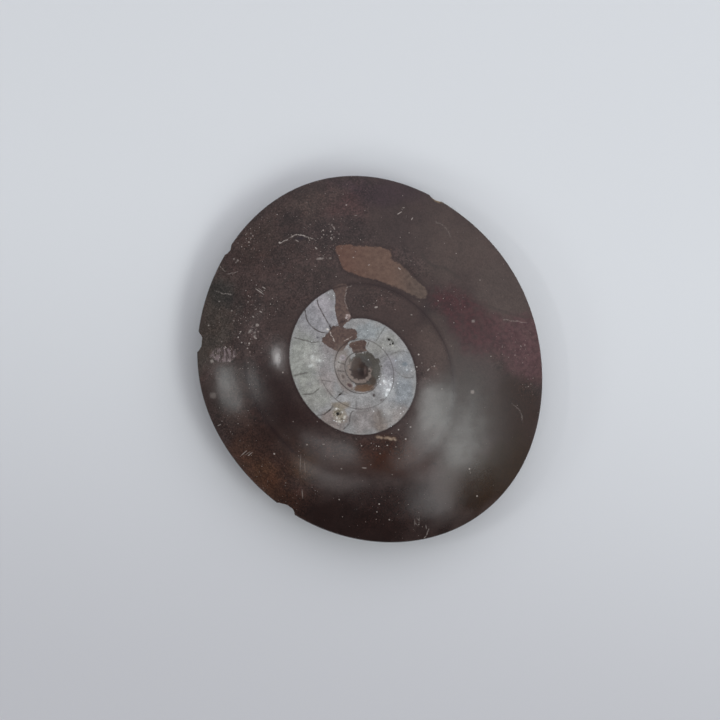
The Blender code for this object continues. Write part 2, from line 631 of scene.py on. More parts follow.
# Calcite colours of the chambers, with two lighter spots that are painted highlights: the lamp's glint right
# of the umbilicus and a glare on the left
CALCITE = StainLayer(
    "calcite",
    Wash.GROUND,
    "999796",
    (
        Stain(-9.5, 12.5, 4.5, 5.0, 50.0, "989599", 0.8),
        Stain(-8.0, 14.5, 1.8, 2.4, 0.0, "aba4a8", 0.6),
        Stain(-13.0, 2.0, 3.5, 6.0, 0.0, "9c9d95", 0.8),
        # painted highlight: a lighter glare on the calcite left of the umbilicus
        Stain(-10.5, 2.5, 2.5, 2.0, 0.0, "b1afaa", 0.7, 0.8),
        Stain(-10.0, -5.0, 3.5, 3.5, 0.0, "a09f98", 0.8),
        Stain(-11.6, -7.6, 1.6, 1.6, 0.0, "93918c", 0.6),
        Stain(-6.0, -11.0, 3.0, 2.6, 20.0, "90847f", 0.9, 0.3),
        Stain(-4.4, -7.9, 2.2, 0.9, 5.0, "8b8072", 0.9, 0.4),
        Stain(1.5, -11.0, 3.5, 3.0, 0.0, "857d7a", 0.85),
        Stain(0.8, -11.5, 1.0, 1.6, 0.0, "a09a99", 0.6, 0.8),
        Stain(5.0, -12.0, 1.5, 3.0, 20.0, "83776f", 0.8),
        Stain(6.8, -10.4, 1.6, 1.8, 0.0, "a59f9b", 0.6),
        Stain(9.4, -9.4, 1.6, 2.6, -30.0, "8f8682", 0.7),
        Stain(2.0, 8.5, 3.5, 1.8, 0.0, "959a9c", 0.8),
        Stain(6.5, 6.0, 3.0, 2.0, -45.0, "999893", 0.8),
        Stain(9.8, 1.4, 2.2, 2.4, 0.0, "96989b", 0.8),
        Stain(9.6, -4.6, 2.4, 3.2, 0.0, "898e93", 0.8),
        Stain(6.5, 0.0, 1.6, 3.5, 0.0, "939095", 0.7),
        # painted highlight: the lamp's glint on the calcite right of the umbilicus
        Stain(5.9, -3.6, 1.8, 2.4, 0.0, "a7a6a8", 0.8, 0.7),
        Stain(3.2, 5.0, 2.2, 1.2, -30.0, "9d9b96", 0.8),
        Stain(-7.4, -2.0, 1.8, 3.0, 20.0, "8f8583", 0.7),
        Stain(-7.0, 1.5, 2.0, 2.0, 0.0, "969190", 0.7),
        Stain(-6.9, 4.8, 1.8, 1.6, 0.0, "88807f", 0.8),
    ),
    wobble=0.45,
    lump=1.8,
)

# Fills of the inmost whorls, the crystals and the dark spots, laid over calcite and rock alike; the
# near-white spots right and left of the umbilicus are painted glints
FILLS = StainLayer(
    "fills",
    Wash.GLAZE,
    "000000",
    (
        Stain(-3.6, 0.2, 2.1, 5.2, 10.0, "786b64", 0.8, 0.25),
        Stain(0.9, 0.1, 3.75, 3.9, 0.0, "504a43", 1.0, 0.05),
        Stain(3.9, -0.3, 0.8, 2.2, 0.0, "5d5a54", 0.7, 0.5),
        Stain(2.9, -2.4, 1.2, 0.7, -60.0, "44362c", 0.8, 0.4),
        Stain(0.8, -4.0, 2.4, 0.85, 4.0, "604735", 0.95, 0.3),
        Stain(0.7, -4.35, 1.3, 0.4, 0.0, "6f543e", 0.8, 0.6),
        Stain(-0.1, -0.1, 2.75, 2.9, 0.0, "80726a", 1.0, 0.06),
        Stain(0.9, 1.9, 2.0, 1.2, -30.0, "4e4a47", 1.0, 0.3),
        Stain(-0.1, -0.1, 1.95, 2.05, 0.0, "3b2c27", 1.0, 0.08),
        Stain(-0.9, 1.5, 1.6, 1.0, 60.0, "46372f", 1.0, 0.3),
        Stain(0.3, -0.5, 0.75, 1.0, 20.0, "241613", 0.9, 0.6),
        Stain(1.1, -0.1, 0.25, 0.9, 0.0, "5e4c47", 0.8, 0.5),
        Stain(-2.25, 0.13, 0.26, 0.22, 0.0, "382c28", 0.9, 0.4),
        Stain(-1.9, -1.0, 0.26, 0.26, 0.0, "382c28", 0.9, 0.4),
        Stain(-1.3, -1.8, 0.2, 0.2, 0.0, "382c28", 0.8, 0.4),
        Stain(1.5, -1.15, 0.36, 0.36, 0.0, "33261f", 0.95, 0.4),
        Stain(2.05, -0.2, 0.28, 0.2, 0.0, "382c28", 0.9, 0.4),
        Stain(0.9, 1.3, 0.25, 0.3, 0.0, "302522", 0.9, 0.4),
        Stain(-3.9, 2.8, 0.7, 0.6, 0.0, "92858a", 0.9, 0.35),
        Stain(-3.9, 2.8, 0.36, 0.3, 0.0, "66605f", 0.9, 0.4),
        Stain(-4.36, 0.77, 0.4, 0.3, 50.0, "726a64", 0.6, 0.4),
        Stain(-3.81, -1.43, 0.58, 0.78, 20.0, "8a7e77", 0.9, 0.3),
        Stain(-3.81, -1.43, 0.34, 0.52, 20.0, "584c47", 0.9, 0.35),
        Stain(-2.34, -3.36, 0.85, 0.6, -38.0, "8a7c74", 0.9, 0.3),
        Stain(-2.34, -3.36, 0.6, 0.36, -38.0, "4b3636", 0.95, 0.3),
        Stain(-9.5, 7.3, 0.25, 0.25, 0.0, "4a4450", 0.8, 0.5),
        Stain(3.05, -5.6, 0.28, 0.34, 0.0, "453a38", 0.9, 0.4),
        Stain(4.9, -6.6, 0.5, 0.22, 20.0, "5a514f", 0.7, 0.5),
        Stain(-6.8, -8.95, 0.55, 0.13, 40.0, "2b2018", 1.0, 0.4),
        Stain(-4.5, -5.4, 0.45, 0.16, 38.0, "2e251b", 1.0, 0.4),
        Stain(-4.6, -9.9, 1.3, 1.7, 30.0, "9a917f", 0.75, 0.5),
        Stain(-5.0, -9.73, 0.36, 0.36, 0.0, "160f0b", 1.0, 0.3),
        Stain(-4.1, -10.9, 0.24, 0.2, 20.0, "4b443c", 0.8, 0.5),
        Stain(6.45, 6.84, 0.34, 0.24, -30.0, "1f1916", 1.0, 0.4),
        Stain(7.3, 5.99, 0.22, 0.18, 0.0, "26201d", 1.0, 0.4),
        Stain(6.7, 5.74, 0.16, 0.22, 30.0, "3a332f", 0.9, 0.4),
        Stain(7.22, 5.5, 0.17, 0.2, 0.0, "d8d6cc", 1.0, 0.4),
        # painted highlight: near-white glints of the lamp on the calcite right of the umbilicus
        Stain(6.0, -3.9, 1.2, 2.2, 12.0, "d4d8da", 0.45, 0.8),
        Stain(5.5, -2.6, 0.35, 0.5, 30.0, "f2f4f4", 0.9, 0.5),
        Stain(6.3, -4.4, 0.5, 0.35, 20.0, "f2f4f4", 0.9, 0.5),
        Stain(5.9, -5.5, 0.3, 0.5, 0.0, "eceff0", 0.8, 0.5),
        Stain(6.8, -3.2, 0.22, 0.4, 10.0, "eceff0", 0.8, 0.5),
        Stain(-5.3, -8.6, 0.3, 0.22, 20.0, "dcd8d0", 0.9, 0.4),
        Stain(-4.1, -9.4, 0.3, 0.25, -30.0, "dcd8d0", 0.9, 0.4),
        Stain(-5.2, -10.6, 0.25, 0.35, 0.0, "dcd8d0", 0.9, 0.4),
        Stain(-4.7, -11.5, 0.4, 0.25, -20.0, "d2cdc4", 0.9, 0.4),
        Stain(-3.5, -10.5, 0.25, 0.4, -20.0, "d2cdc4", 0.9, 0.4),
        # painted highlight: near-white glints in the glare on the calcite at the left
        Stain(-11.0, 1.0, 0.5, 0.3, 20.0, "d6d8d4", 0.7, 0.6),
        Stain(-9.3, 2.2, 0.6, 0.35, -10.0, "d6d8d4", 0.7, 0.6),
        Stain(-10.6, 2.9, 0.35, 0.5, 0.0, "d6d8d4", 0.6, 0.6),
        Stain(10.0, 1.37, 0.6, 0.45, 0.0, "6f787f", 0.8, 0.5),
        Stain(10.5, 0.06, 0.15, 0.15, 0.0, "e6ecf2", 1.0, 0.4),
        Stain(7.96, 2.12, 0.13, 0.13, 0.0, "d5dde8", 1.0, 0.4),
        Stain(1.7, 8.9, 0.12, 0.12, 0.0, "dce6e8", 0.9, 0.4),
        Stain(-2.7, 12.0, 0.7, 0.8, 0.0, "6b5853", 0.8, 0.6),
        Stain(-2.9, 12.3, 0.3, 0.2, 30.0, "c3b1ac", 0.9, 0.4),
        Stain(-2.4, 12.1, 0.2, 0.3, 0.0, "b7a29c", 0.9, 0.4),
        Stain(-3.05, 11.75, 0.2, 0.3, -20.0, "d6c8c4", 0.9, 0.4),
        Stain(-2.55, 11.55, 0.25, 0.18, 40.0, "a9938d", 0.9, 0.4),
        Stain(-1.95, 12.4, 0.16, 0.5, 10.0, "2c1f1d", 0.9, 0.4),
        Stain(5.6, -15.1, 2.7, 0.6, -6.0, "3d2820", 0.8, 0.5),
        Stain(4.1, -14.95, 0.55, 0.3, -4.0, "8a7463", 0.95, 0.5),
        Stain(4.8, -15.15, 0.3, 0.22, 30.0, "9c8774", 0.9, 0.5),
        Stain(5.9, -15.1, 0.6, 0.26, 10.0, "8f7a68", 0.95, 0.5),
        Stain(6.7, -15.35, 0.5, 0.3, -20.0, "a18c79", 0.95, 0.5),
        Stain(7.5, -15.2, 0.45, 0.22, 0.0, "8a7361", 0.95, 0.5),
        Stain(7.8, -15.55, 0.3, 0.2, -30.0, "b09c89", 0.9, 0.5),
        Stain(-13.4, 29.7, 0.9, 0.35, 10.0, "241c26", 0.8, 0.7),
        Stain(-16.8, 18.8, 0.3, 0.3, 0.0, "1f1614", 0.6, 0.6),
        Stain(10.4, 21.5, 0.35, 0.2, -30.0, "33231d", 0.8, 0.5),
        Stain(11.1, 19.2, 0.3, 0.2, -20.0, "3a2920", 0.7, 0.5),
        Stain(16.5, -12.5, 0.3, 0.3, 0.0, "2a2424", 0.8, 0.5),
        Stain(21.3, -15.0, 0.26, 0.26, 0.0, "2a2424", 0.8, 0.5),
        Stain(16.8, -21.0, 0.3, 0.3, 0.0, "2a2424", 0.7, 0.5),
        Stain(13.3, -27.6, 0.3, 0.3, 0.0, "241c1a", 0.7, 0.5),
        Stain(-7.25, 9.15, 0.26, 0.24, -40.0, "e2dbd4", 1.0, 0.4),
        Stain(-6.65, 9.6, 0.22, 0.75, 20.0, "2a1f1e", 0.95, 0.3),
    ),
    wobble=0.14,
    lump=0.5,
)

# The tan patch of rock
PATCH_OUTLINE = Patch(
    (
        (-5.5, 27.9), (-3.3, 28.2), (0.0, 27.9), (4.9, 27.4), (7.1, 26.6), (6.9, 25.2), (9.3, 23.5),
        (12.1, 20.8), (14.3, 18.6), (15.1, 16.9), (13.7, 16.1), (11.0, 17.2), (7.1, 18.9), (4.4, 20.0),
        (1.1, 20.8), (-2.7, 22.2), (-4.1, 23.5), (-5.2, 26.3),
    )
)  # fmt: skip

# The wine-red stain
RED_OUTLINE = Patch(
    (
        (15.2, 16.9), (19.2, 18.2), (23.1, 17.1), (27.6, 14.4), (32.5, 11.9), (41.5, 11.9), (42.0, -1.8),
        (37.2, -1.4), (34.1, -0.2), (32.1, 2.5), (27.6, 3.6), (23.1, 4.7), (21.3, 8.1), (19.5, 11.7),
        (17.0, 14.8),
    )
)  # fmt: skip

# Where the white coil ends against the hardened mud
COIL_END = ((-5.6, 17.2), (-5.5, 15.6), (-5.6, 13.7), (-5.4, 12.3), (-5.0, 10.9))

# The hardened mud in and between the whorls
SEDIMENT_OUTLINES = (
    Patch(
        (
            (-6.1, 18.6), *COIL_END, (-4.4, 9.6), (-2.7, 10.8), (-2.1, 11.7), (-2.6, 13.3), (-3.2, 14.9),
            (-3.4, 16.1), (-3.2, 17.2), (-2.9, 19.2), (-4.4, 19.3),
        )
    ),
    Patch(
        (
            (-6.2, 9.7), (-5.5, 9.9), (-4.4, 9.8), (-3.4, 9.5), (-2.3, 9.3), (-1.1, 9.0), (-0.7, 8.3),
            (-0.8, 7.5), (-1.4, 6.7), (-2.3, 6.5), (-3.0, 5.6), (-3.7, 4.6), (-4.4, 4.2), (-5.3, 4.2),
            (-6.4, 4.9), (-7.6, 5.6), (-8.4, 6.3), (-8.3, 7.2), (-7.6, 7.9), (-6.9, 8.8),
        )
    ),
    Patch(
        (
            (-2.5, 5.6), (-1.6, 6.3), (0.2, 6.6), (1.4, 6.4), (1.3, 5.1), (1.4, 4.3), (-0.2, 3.8),
            (-1.4, 3.8), (-1.8, 4.6),
        )
    ),
)  # fmt: skip

# The walls between the chambers of the last white whorl, and cracks outside it
SEAMS = LineLayer(
    "seams",
    (
        Line(((5.4, 9.45), (4.4, 7.85), (3.6, 6.6)), ink=0.5),
        Line(((10.9, 3.9), (9.6, 4.28), (8.2, 4.08), (6.6, 3.4)), ink=0.45),
        Line(((11.9, -1.5), (11.1, -1.65), (9.6, -1.45), (8.6, -0.64), (7.8, -0.04)), ink=0.45),
        Line(((4.9, -13.0), (4.8, -12.0), (4.2, -10.0), (3.3, -8.4)), width=0.7, ink=0.4),
        Line(((-3.7, -13.2), (-2.5, -11.9), (-2.2, -10.1), (-1.9, -9.4), (-1.5, -9.1)), ink=0.65),
        Line(((-9.5, -10.1), (-8.2, -9.9), (-7.3, -9.3), (-6.4, -8.5), (-6.1, -7.9)), ink=0.8),
        Line(((-12.9, -5.4), (-11.0, -5.3), (-10.0, -4.8), (-9.2, -4.1)), ink=0.75),
        Line(((-14.8, -1.25), (-13.2, -0.8), (-11.7, -0.5)), width=0.4, ink=0.6),
        Line(((-14.8, 7.3), (-12.9, 6.8), (-10.3, 6.25), (-9.3, 6.4)), ink=0.65),
        Line(((-12.4, 13.6), (-11.8, 11.1), (-10.6, 9.6), (-9.0, 8.6), (-7.3, 8.3)), ink=0.9),
        Line(((-9.6, 15.7), (-9.4, 14.7), (-8.9, 13.7), (-8.0, 12.0), (-7.1, 10.4)), ink=0.9),
        Line(((-17.8, 18.9), (-16.8, 20.0), (-15.5, 21.6)), width=0.5, ink=1.0),
        Line(((-15.0, 22.4), (-14.1, 23.2), (-9.1, 22.9), (-5.1, 22.1)), width=0.6, ink=0.5),
        Line(((13.8, 26.1), (16.1, 23.6), (19.2, 22.9), (22.4, 20.7)), width=0.7, ink=0.75),
        Line(((24.6, 15.8), (30.0, 14.0), (35.9, 12.2), (40.4, 11.7)), width=0.6, ink=0.5),
    ),
)

# The same walls in the inner whorls
INNER_SEAMS = LineLayer(
    "inner_seams",
    (
        Line(((1.9, 6.2), (1.7, 5.7), (1.5, 5.2)), ink=0.7),
        Line(((6.1, 3.5), (4.5, 2.8)), ink=0.25),
        Line(((-0.8, -8.3), (-0.85, -7.6), (-0.9, -6.8)), ink=0.4),
        Line(((-8.6, -2.2), (-6.7, -2.5), (-5.6, -2.7)), ink=0.5),
        Line(((-3.8, -4.7), (-4.5, -5.4), (-5.4, -6.3)), ink=0.5),
        Line(((-5.0, 1.85), (-4.2, 1.55), (-3.5, 1.3)), width=0.36, ink=0.9),
        Line(((-5.1, -0.06), (-4.3, -0.2), (-3.6, -0.25)), width=0.32, ink=0.9),
        Line(((-3.9, -2.5), (-3.1, -2.3)), ink=0.4),
    ),
    reach=0.5,
)

# Pale threads: healed cracks and long bent scratches
THREADS = LineLayer(
    "threads",
    (
        Line(((-2.1, 18.9), (-3.0, 18.4), (-3.2, 17.2), (-3.4, 16.0), (-3.2, 14.9), (-2.8, 13.8)), ink=0.28),
        Line(((-6.8, 8.6), (-5.75, 6.45)), width=0.28, ink=0.9),
        Line(((-3.5, 6.6), (-1.9, 7.5)), width=0.25, ink=0.7),
        Line(
            (
                (-17.9, 28.7), (-16.5, 29.3), (-15.5, 30.0), (-14.4, 30.4), (-13.0, 30.4), (-12.2, 30.0),
                (-10.5, 29.5),
            ),
            width=0.28,
            ink=0.75,
        ),
        Line(((-31.6, 23.4), (-30.5, 22.3)), width=0.25, ink=0.35),
        Line(((-29.9, 21.7), (-28.6, 21.9), (-27.4, 22.3)), width=0.25, ink=0.3),
        Line(((-32.5, 17.9), (-31.0, 17.3), (-29.1, 17.0)), width=0.28, ink=0.35),
        Line(((14.6, -37.9), (15.2, -36.6), (15.5, -35.9)), width=0.28, ink=0.5),
        Line(((17.3, 33.4), (19.4, 32.0), (20.6, 29.8)), width=0.4, ink=0.12),
        Line(((32.4, 11.4), (34.2, 11.1), (36.0, 11.0), (37.5, 10.6)), width=0.35, ink=0.22),
        Line(((34.2, -7.6), (35.4, -8.5), (36.3, -9.7), (36.7, -11.6)), width=0.35, ink=0.15),
    ),
    reach=1.0,
)

# Light spots and straight scratches
FLECKS = FleckLayer(
    "flecks",
    (
        Fleck(-22.6, 17.7, 1.2, 0.13, -35.0, 0.8),
        Fleck(-21.6, 18.5, 0.45, 0.13, -30.0, 0.7),
        Fleck(-26.2, -18.7, 1.0, 0.12, 40.0, 0.7),
        Fleck(-24.8, -18.9, 0.7, 0.12, 37.0, 0.7),
        Fleck(-31.8, -12.4, 0.5, 0.12, 28.0, 0.6),
        Fleck(-13.4, -20.9, 1.9, 0.1, 88.0, 0.3),
        Fleck(-12.4, -21.7, 1.4, 0.1, 94.0, 0.25),
        Fleck(-13.0, -27.9, 1.05, 0.13, -85.0, 0.4),
        Fleck(8.9, 35.4, 0.65, 0.12, 32.0, 0.8),
        Fleck(9.8, 36.6, 0.3, 0.12, 0.0, 0.6),
        Fleck(11.7, 34.1, 0.4, 0.12, 60.0, 0.7),
        Fleck(14.9, -35.4, 0.5, 0.1, -80.0, 0.4),
        Fleck(12.3, -34.3, 0.9, 0.1, 90.0, 0.3),
        Fleck(13.3, -34.0, 1.1, 0.1, 88.0, 0.3),
        Fleck(-26.9, 8.6),
        Fleck(-27.4, 7.4),
        Fleck(-26.6, 6.2),
        Fleck(-24.9, 6.0, 0.22, 0.2),
        Fleck(-25.3, 4.9),
        Fleck(-28.4, 11.1, 0.13, 0.13, 0.0, 0.7),
        Fleck(-28.9, 13.4, 0.18, 0.2, 0.0, 0.6),
        Fleck(-31.8, 15.5, 0.16, 0.16, 0.0, 0.6),
        Fleck(-34.2, 10.1, 0.2, 0.2, 0.0, 0.6),
        Fleck(-24.0, 12.0, 0.25, 0.15, -30.0, 0.7),
        Fleck(-22.3, 13.1, 0.35, 0.14, -30.0, 0.7),
        Fleck(-33.4, 2.0, 0.42, 0.4, 20.0, 0.6),
        Fleck(-33.2, -5.7, 0.8, 0.75, 0.0, 0.25),
        Fleck(-24.6, 8.7, 0.5, 0.4, 60.0, 0.6),
        Fleck(-23.7, 8.4, 0.3, 0.3, 0.0, 0.5),
        Fleck(-23.6, 7.4, 0.5, 0.25, -50.0, 0.6),
        Fleck(-23.1, 10.1, 0.4, 0.35, 0.0, 0.6),
        Fleck(-18.1, 28.7, 0.24, 0.22, 0.0, 1.0),
        Fleck(-25.1, 28.9, 0.2, 0.2, 0.0, 0.7),
        Fleck(-28.4, 25.1, 0.3, 0.25, 10.0, 0.7),
        Fleck(-27.6, 24.8, 0.3, 0.25, -40.0, 0.8),
        Fleck(-28.0, 24.3, 0.2, 0.2, 0.0, 0.6),
        Fleck(-24.2, 30.3, 0.16, 0.16, 0.0, 0.7),
        Fleck(-6.3, 32.6, 0.2, 0.18, 0.0, 0.9),
        Fleck(-5.8, 31.8, 0.3, 0.16, -60.0, 0.7),
        Fleck(-6.6, 31.2, 0.24, 0.16, 60.0, 0.8),
        Fleck(-6.5, 29.7, 0.2, 0.16, 0.0, 0.8),
        Fleck(-14.2, 29.1, 0.5, 0.12, -30.0, 0.6),
        Fleck(-3.1, 37.2, 0.2, 0.14, 0.0, 0.9),
        Fleck(-1.0, 34.8, 0.3, 0.12, 10.0, 0.4),
        Fleck(-9.8, 27.3, 0.2, 0.18, 0.0, 0.7),
        Fleck(-9.0, 25.0, 0.9, 0.25, 4.0, 0.45),
        Fleck(-6.7, 25.1, 0.35, 0.25, 0.0, 0.3),
        Fleck(-1.5, 25.3, 0.16, 0.14, 0.0, 0.8),
        Fleck(8.8, 22.8, 0.4, 0.14, -40.0, 0.8),
        Fleck(2.0, 23.6, 0.3, 0.13, 20.0, 0.6),
        Fleck(-19.3, -18.8, 0.2, 0.2),
        Fleck(-17.3, -0.5, 0.17, 0.17, 0.0, 1.0),
        Fleck(13.1, 3.5, 0.19, 0.19),
        Fleck(12.65, 0.75, 0.16, 0.16, 0.0, 0.9),
        Fleck(15.25, 0.1, 0.38, 0.14, 48.0, 0.6),
        Fleck(16.6, 0.9, 0.2, 0.2, 0.0, 0.4),
        Fleck(3.6, 14.1, 0.4, 0.22, 15.0, 0.7),
        Fleck(11.5, 12.4, 0.2, 0.18, 0.0, 0.4),
        Fleck(18.3, -4.2, 0.17, 0.15, 0.0, 0.5),
        Fleck(25.2, -4.9, 0.42, 0.45, 0.0, 0.5),
        Fleck(25.4, 11.0, 0.4, 0.38, 0.0, 0.35),
        Fleck(10.2, -15.4, 0.2, 0.18),
        Fleck(8.6, -13.3, 0.16, 0.16, 0.0, 0.8),
        Fleck(11.3, -12.7, 0.2, 0.16, 0.0, 0.7),
        Fleck(24.6, -22.2, 0.18, 0.18),
        Fleck(24.8, -23.1, 0.12, 0.12, 0.0, 0.7),
        Fleck(26.4, -28.4, 0.18, 0.18, 0.0, 0.9),
        Fleck(4.3, -30.1, 0.17, 0.17),
        Fleck(3.8, -31.9, 0.14, 0.14, 0.0, 0.8),
        Fleck(6.6, -33.7, 0.16, 0.14, 0.0, 0.8),
        Fleck(-4.7, -29.1, 0.16, 0.14, 0.0, 0.7),
        Fleck(-4.2, -22.1, 0.2, 0.16, 0.0, 0.5),
        Fleck(0.9, -21.9, 0.6, 0.16, -5.0, 0.5),
        Fleck(6.1, -16.8, 0.16, 0.14, 0.0, 0.8),
        Fleck(4.5, -18.7, 0.15, 0.14, 0.0, 0.6),
        Fleck(8.7, -19.8, 0.15, 0.14, 0.0, 0.6),
        Fleck(-11.9, -16.7, 0.17, 0.16, 0.0, 0.8),
        Fleck(-8.2, -16.6, 0.3, 0.16, 0.0, 0.6),
    ),
)

# Where small pale specks are thick, as the share of places that hold one; two thick spots on the calcite
# serve the painted glints
SPECKS = StainLayer(
    "specks",
    Wash.GROUND,
    "3a3a3a",
    (
        Stain(-16.0, 28.0, 20.0, 12.0, 35.0, "8e8e8e", 0.9),
        Stain(-27.0, 8.0, 9.0, 14.0, 0.0, "989898", 0.9),
        Stain(-24.5, 14.5, 4.0, 4.6, 0.0, "d0d0d0", 0.95, 0.8),
        Stain(-23.6, 8.6, 1.6, 2.4, -20.0, "dcdcdc", 0.95, 0.7),
        Stain(-25.0, 30.0, 1.8, 2.4, -30.0, "d8d8d8", 0.95, 0.7),
        Stain(-28.0, 24.8, 1.2, 1.0, 0.0, "dcdcdc", 0.95, 0.7),
        Stain(-6.2, 31.2, 1.0, 2.0, 0.0, "dcdcdc", 0.95, 0.7),
        Stain(-11.4, 26.6, 2.6, 0.8, 20.0, "dadada", 0.95, 0.7),
        Stain(-28.6, -10.0, 2.0, 4.0, 20.0, "c8c8c8", 0.95, 0.8),
        Stain(10.5, 24.0, 2.6, 1.4, -40.0, "c8c8c8", 0.9, 0.8),
        Stain(-30.7, 3.6, 3.6, 1.6, 0.0, "ffffff", 1.0, 0.25),
        Stain(-26.0, 28.0, 4.0, 4.0, 30.0, "bcbcbc", 0.8),
        Stain(-9.0, 29.5, 5.0, 3.5, -20.0, "c4c4c4", 0.9),
        Stain(-9.0, 25.0, 4.0, 1.6, 0.0, "b4b4b4", 0.7),
        Stain(-28.0, -12.0, 6.0, 6.0, 0.0, "8c8c8c", 0.8),
        Stain(-21.0, -23.0, 5.0, 11.0, 42.0, "888888", 0.9),
        Stain(20.0, 15.5, 3.6, 2.4, -20.0, "bcbcbc", 0.9),
        Stain(10.0, 24.0, 5.0, 2.6, -30.0, "909090", 0.8),
        Stain(34.0, 4.0, 4.5, 4.5, 0.0, "d0d0d0", 0.9),
        Stain(9.5, 12.0, 7.0, 3.4, -45.0, "141414", 0.9),
        Stain(38.0, -4.0, 2.0, 2.4, 0.0, "d0d0d0", 0.9),
        Stain(0.0, -17.0, 14.0, 2.6, 0.0, "888888", 0.8),
        Stain(3.0, 15.5, 6.0, 2.6, 0.0, "848484", 0.9),
        Stain(15.0, -0.5, 3.0, 2.6, 0.0, "8c8c8c", 0.9),
        Stain(-14.0, -25.0, 4.0, 6.0, 0.0, "909090", 0.7),
        Stain(6.0, -31.0, 8.0, 5.0, 0.0, "707070", 0.8),
        Stain(25.0, -12.0, 12.0, 18.0, 0.0, "1c1c1c", 0.95),
        Stain(24.0, 29.0, 14.0, 7.0, -45.0, "222222", 0.85),
        Stain(-17.5, -6.0, 3.6, 9.0, 10.0, "181818", 0.9),
        Stain(0.0, 0.0, 13.5, 13.5, 0.0, "383838", 1.0, 0.1),
        # more specks here, which on the calcite are painted glints of the lamp
        Stain(5.7, -3.5, 2.0, 2.6, 0.0, "e8e8e8", 0.95, 0.6),
        # more specks here, as painted glints in the glare on the calcite at the left
        Stain(-10.6, 2.6, 3.0, 2.4, 0.0, "b0b0b0", 0.9),
        Stain(9.0, -8.6, 1.6, 2.6, -35.0, "909090", 0.9),
        Stain(-4.4, -10.6, 1.6, 1.8, 0.0, "dcdcdc", 0.9, 0.4),
        Stain(9.9, 1.4, 1.4, 1.4, 0.0, "a8a8a8", 0.9),
        Stain(-2.7, 11.9, 0.9, 1.0, 0.0, "dcdcdc", 1.0, 0.4),
    ),
    wobble=0.5,
    lump=4.0,
)

# How dark the shell's wall is, turn by turn
WALL_INK = (
    (-1440.0, 0.0),
    (-1000.0, 0.3),
    (-940.0, 0.9),
    (-740.0, 0.9),
    (-700.0, 0.4),
    (-620.0, 0.2),
    (-560.0, 0.7),
    (-520.0, 0.9),
    (-380.0, 0.85),
    (-355.0, 0.55),
    (-240.0, 0.55),
    (-225.0, 0.4),
    (-150.0, 0.6),
    (-110.0, 0.5),
    (-98.0, 0.25),
    (-60.0, 0.15),
    (-25.0, 0.5),
    (0.0, 0.7),
    (338.0, 0.75),
    (352.0, 0.5),
    (380.0, 0.75),
    (420.0, 0.7),
    (480.0, 0.45),
    (520.0, 0.1),
    (565.0, 0.1),
    (585.0, 0.75),
    (628.0, 0.7),
    (650.0, 0.0),
    (1440.0, 0.0),
)


# ---------------------------------------------------------------------------------------------- stone


